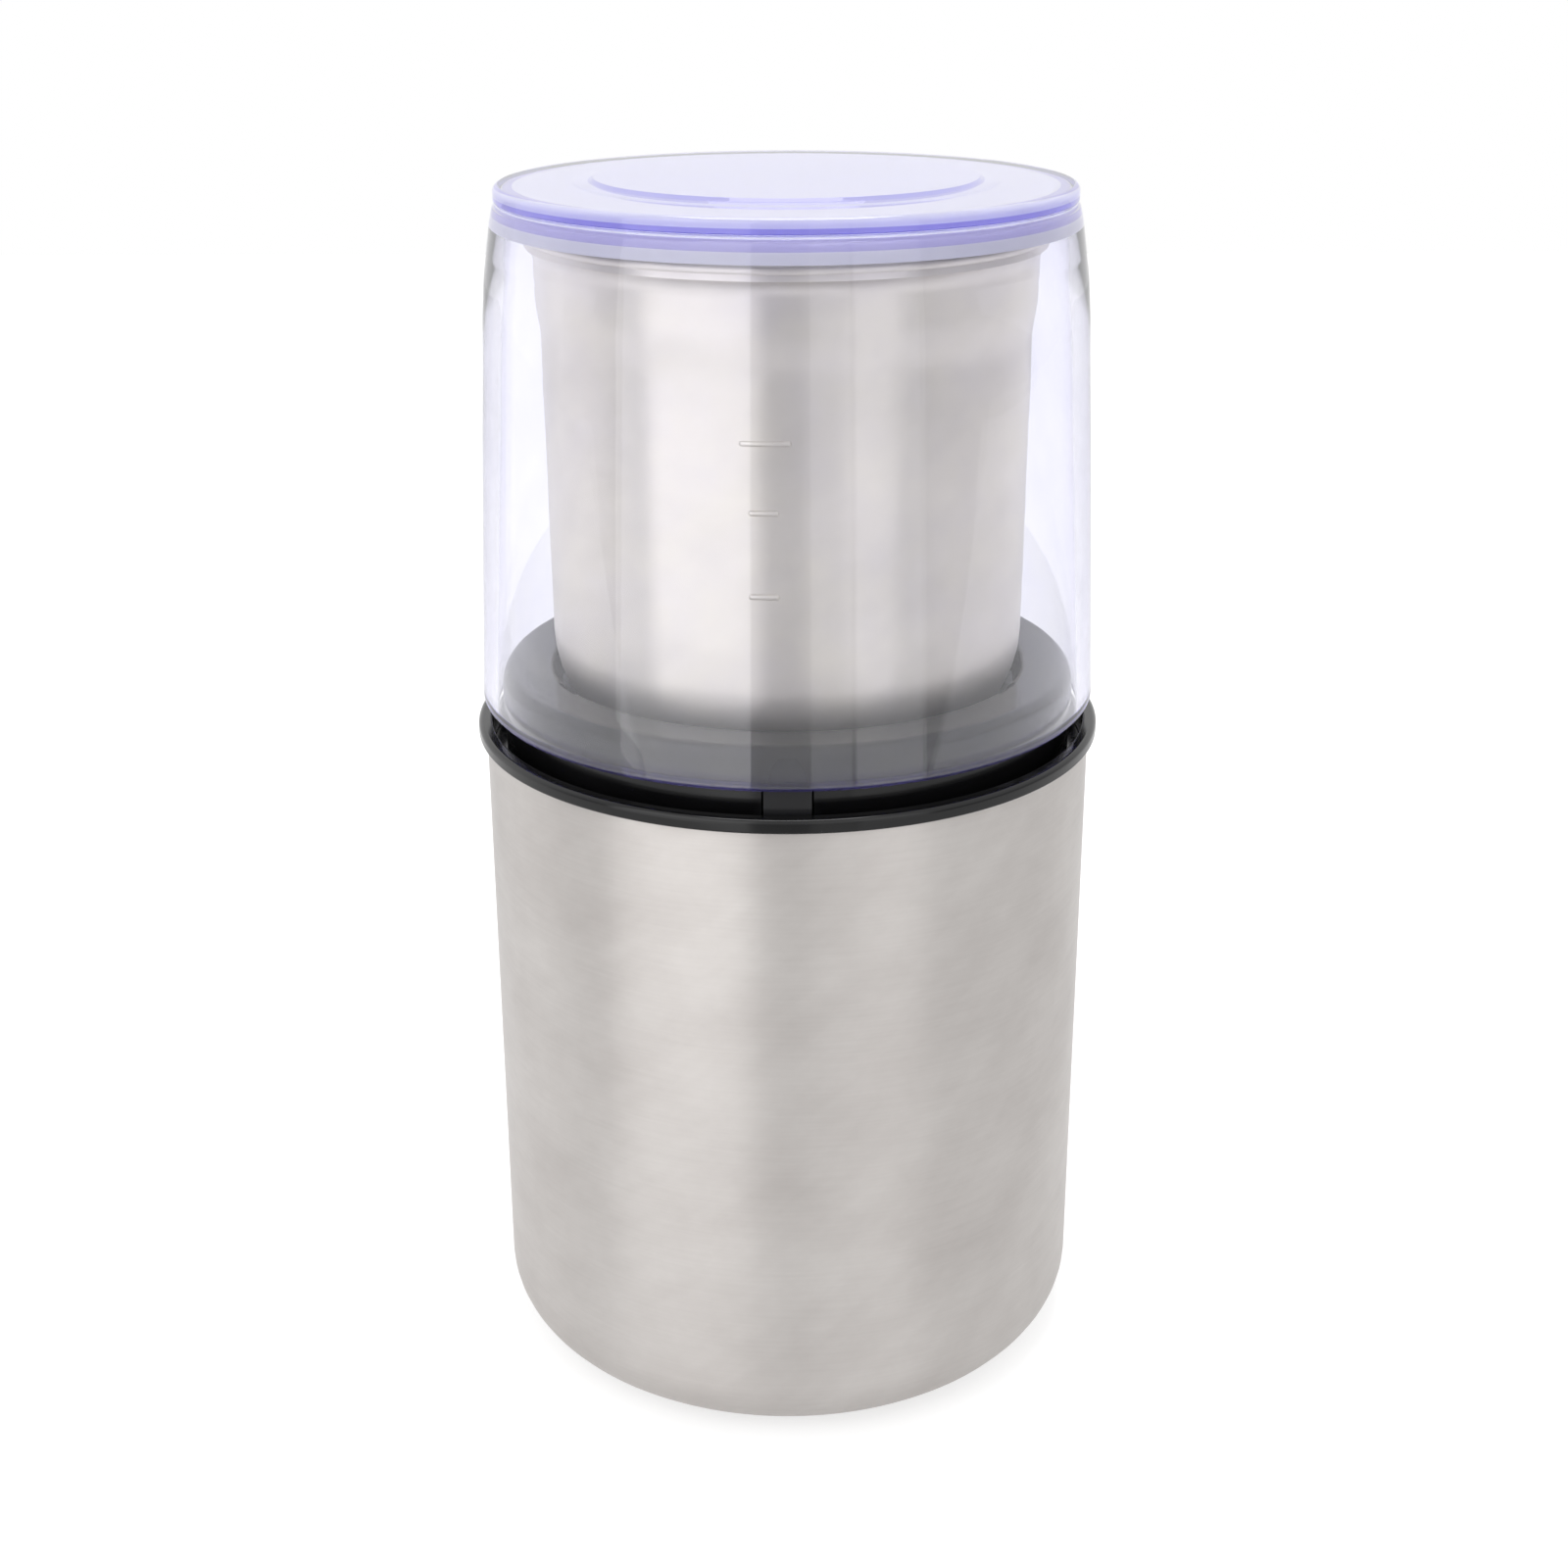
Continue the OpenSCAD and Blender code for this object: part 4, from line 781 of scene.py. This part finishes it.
def cupSide(shape, inset):
    curve, rim = shape["bottomCurve"], shape["rim"]
    lower = shape["radius"] + shape["taper"]
    neck = lower + shape["step"]
    bottomOfStep = rim - shape["stepBelowRim"]
    side = arcPoints(shape["radius"] - curve, shape["bottom"] + curve, curve - inset, -90, 0)
    side.append((lower - inset, bottomOfStep))
    for i in range(1, shape["stepPoints"]):
        t = i / shape["stepPoints"]
        side.append((lower + shape["step"] * (1 - math.cos(math.pi * t)) / 2 - inset,
                     bottomOfStep + shape["stepHeight"] * t))
    foot = rim - shape["funnelTall"]
    side += [(neck - inset, bottomOfStep + shape["stepHeight"]), (neck - inset, foot)]
    side += arcPoints(neck + shape["funnel"], foot, shape["funnel"] + inset, 180, shape["funnelEnd"])[1:]
    return side


def makeCup(shape):
    beadX = shape["radius"] + shape["taper"] + shape["step"] + shape["beadOut"]
    beadZ = shape["rim"] - shape["bead"]
    loop = [(shape["hole"], shape["bottom"])] + cupSide(shape, 0)
    loop += arcPoints(beadX, beadZ, shape["bead"], shape["beadFrom"], shape["beadTo"])
    loop += cupSide(shape, shape["sheet"])[::-1] + [(shape["hole"], shape["bottom"] + shape["sheet"])]
    bm = bmesh.new()
    turnedMesh(bm, loop, turning["segments"])
    finishPiece("grindingCup", bm, "cup_steel", "cup", ["grinding_cup"], sharp=40)


def makeFillMarks(shape, cup):
    bm = bmesh.new()
    columns, rows, half = shape["columns"], shape["rows"], shape["width"] / 2
    for height, start, end in shape["strokes"]:
        wall = cup["radius"] + cup["taper"] * (height - cup["bottom"]) / (cup["rim"] - cup["bottom"])
        grid = []
        for i in range(columns + 1):
            x = start - half + (end - start + 2 * half) * i / columns
            past = max(start - x, x - end, 0)
            line = []
            for j in range(rows + 1):
                z = shape["tall"] * (j / rows - 0.5)
                edge = min(math.hypot(past, z) / half, 1.0)
                lift = (shape["proud"] + shape["sunk"]) * (1 - edge ** 2) ** shape["crown"] - shape["sunk"]
                r = wall + lift
                line.append(bm.verts.new((mm(x), -mm(math.sqrt(r * r - x * x)), mm(height + z))))
            grid.append(line)
        back = [[bm.verts.new(v.co + Vector((0, mm(shape["thick"]), 0))) for v in line] for line in grid]
        for i in range(columns):
            for j in range(rows):
                bm.faces.new((grid[i][j], grid[i + 1][j], grid[i + 1][j + 1], grid[i][j + 1]))
                bm.faces.new((back[i][j + 1], back[i + 1][j + 1], back[i + 1][j], back[i][j]))
        border = [(i, 0) for i in range(columns)] + [(columns, j) for j in range(rows)]
        border += [(i, rows) for i in range(columns, 0, -1)] + [(0, j) for j in range(rows, 0, -1)]
        for (i, j), (m, n) in zip(border, border[1:] + border[:1]):
            bm.faces.new((grid[i][j], back[i][j], back[m][n], grid[m][n]))
    finishPiece("fillMarks", bm, "cup_steel", "cup", sharp=60)


makeCup(cupShape)
makeFillMarks(fillMarks, cupShape)
print("cup dressed")


lidShape = {
    "outside": [  # radius, height and rounding, from the open edge up to the neck under the flange
        (49.9, 116.6, 0.25), (50.4, 117.2, 0.3), (50.2, 121.3), (49.6, 134.7), (49.3, 141.2),
        (48.7, 154.0), (48.4, 160.3), (48.0, 167.0), (47.7, 172.9), (47.45, 178.5), (46.95, 184.5),
        (46.3, 189.2), (45.7, 193.0), (45.25, 194.9, 0.4), (44.75, 195.3, 0.15), (44.75, 195.7, 0.15),
        (45.05, 196.0, 0.25)],
    "flange": 45.05, "top": 198.2, "edgeRounding": 1.0,
    "field": [  # radius, rise and rounding, from the flat top up to the raised field
        (32.9, 0, 0.4), (32.5, 0.17, 0.4), (30.2, 0.26, 0.3), (29.7, 0.8, 0.25)],
    "under": 195.2, "bendAt": 40.6, "bend": 3.2, "bendEnd": 20,  # the bend ends at that angle
    "inside": [  # from the bend down to the open edge
        (44.1, 187.2, 20), (44.6, 178.5, 60), (48.0, 117.0, 0.2), (48.1, 116.6, 0.1)]}


def makeLid(shape):
    top, under, bend = shape["top"], shape["under"], shape["bend"]
    outline = [(0, under)]
    outline += arcPoints(shape["bendAt"], under - bend, bend, 90, shape["bendEnd"])
    outline += shape["inside"] + shape["outside"]
    outline += [(shape["flange"], top, shape["edgeRounding"])]
    outline += [(r, top + rise, rounding) for r, rise, rounding in shape["field"]]
    outline += [(0, top + shape["field"][-1][1])]
    bm = bmesh.new()
    turnedMesh(bm, roundCorners(outline), turning["segments"])
    finishPiece("clearLid", bm, "clear_lid", "lid", ["lid"])


makeLid(lidShape)
print("lid dressed")
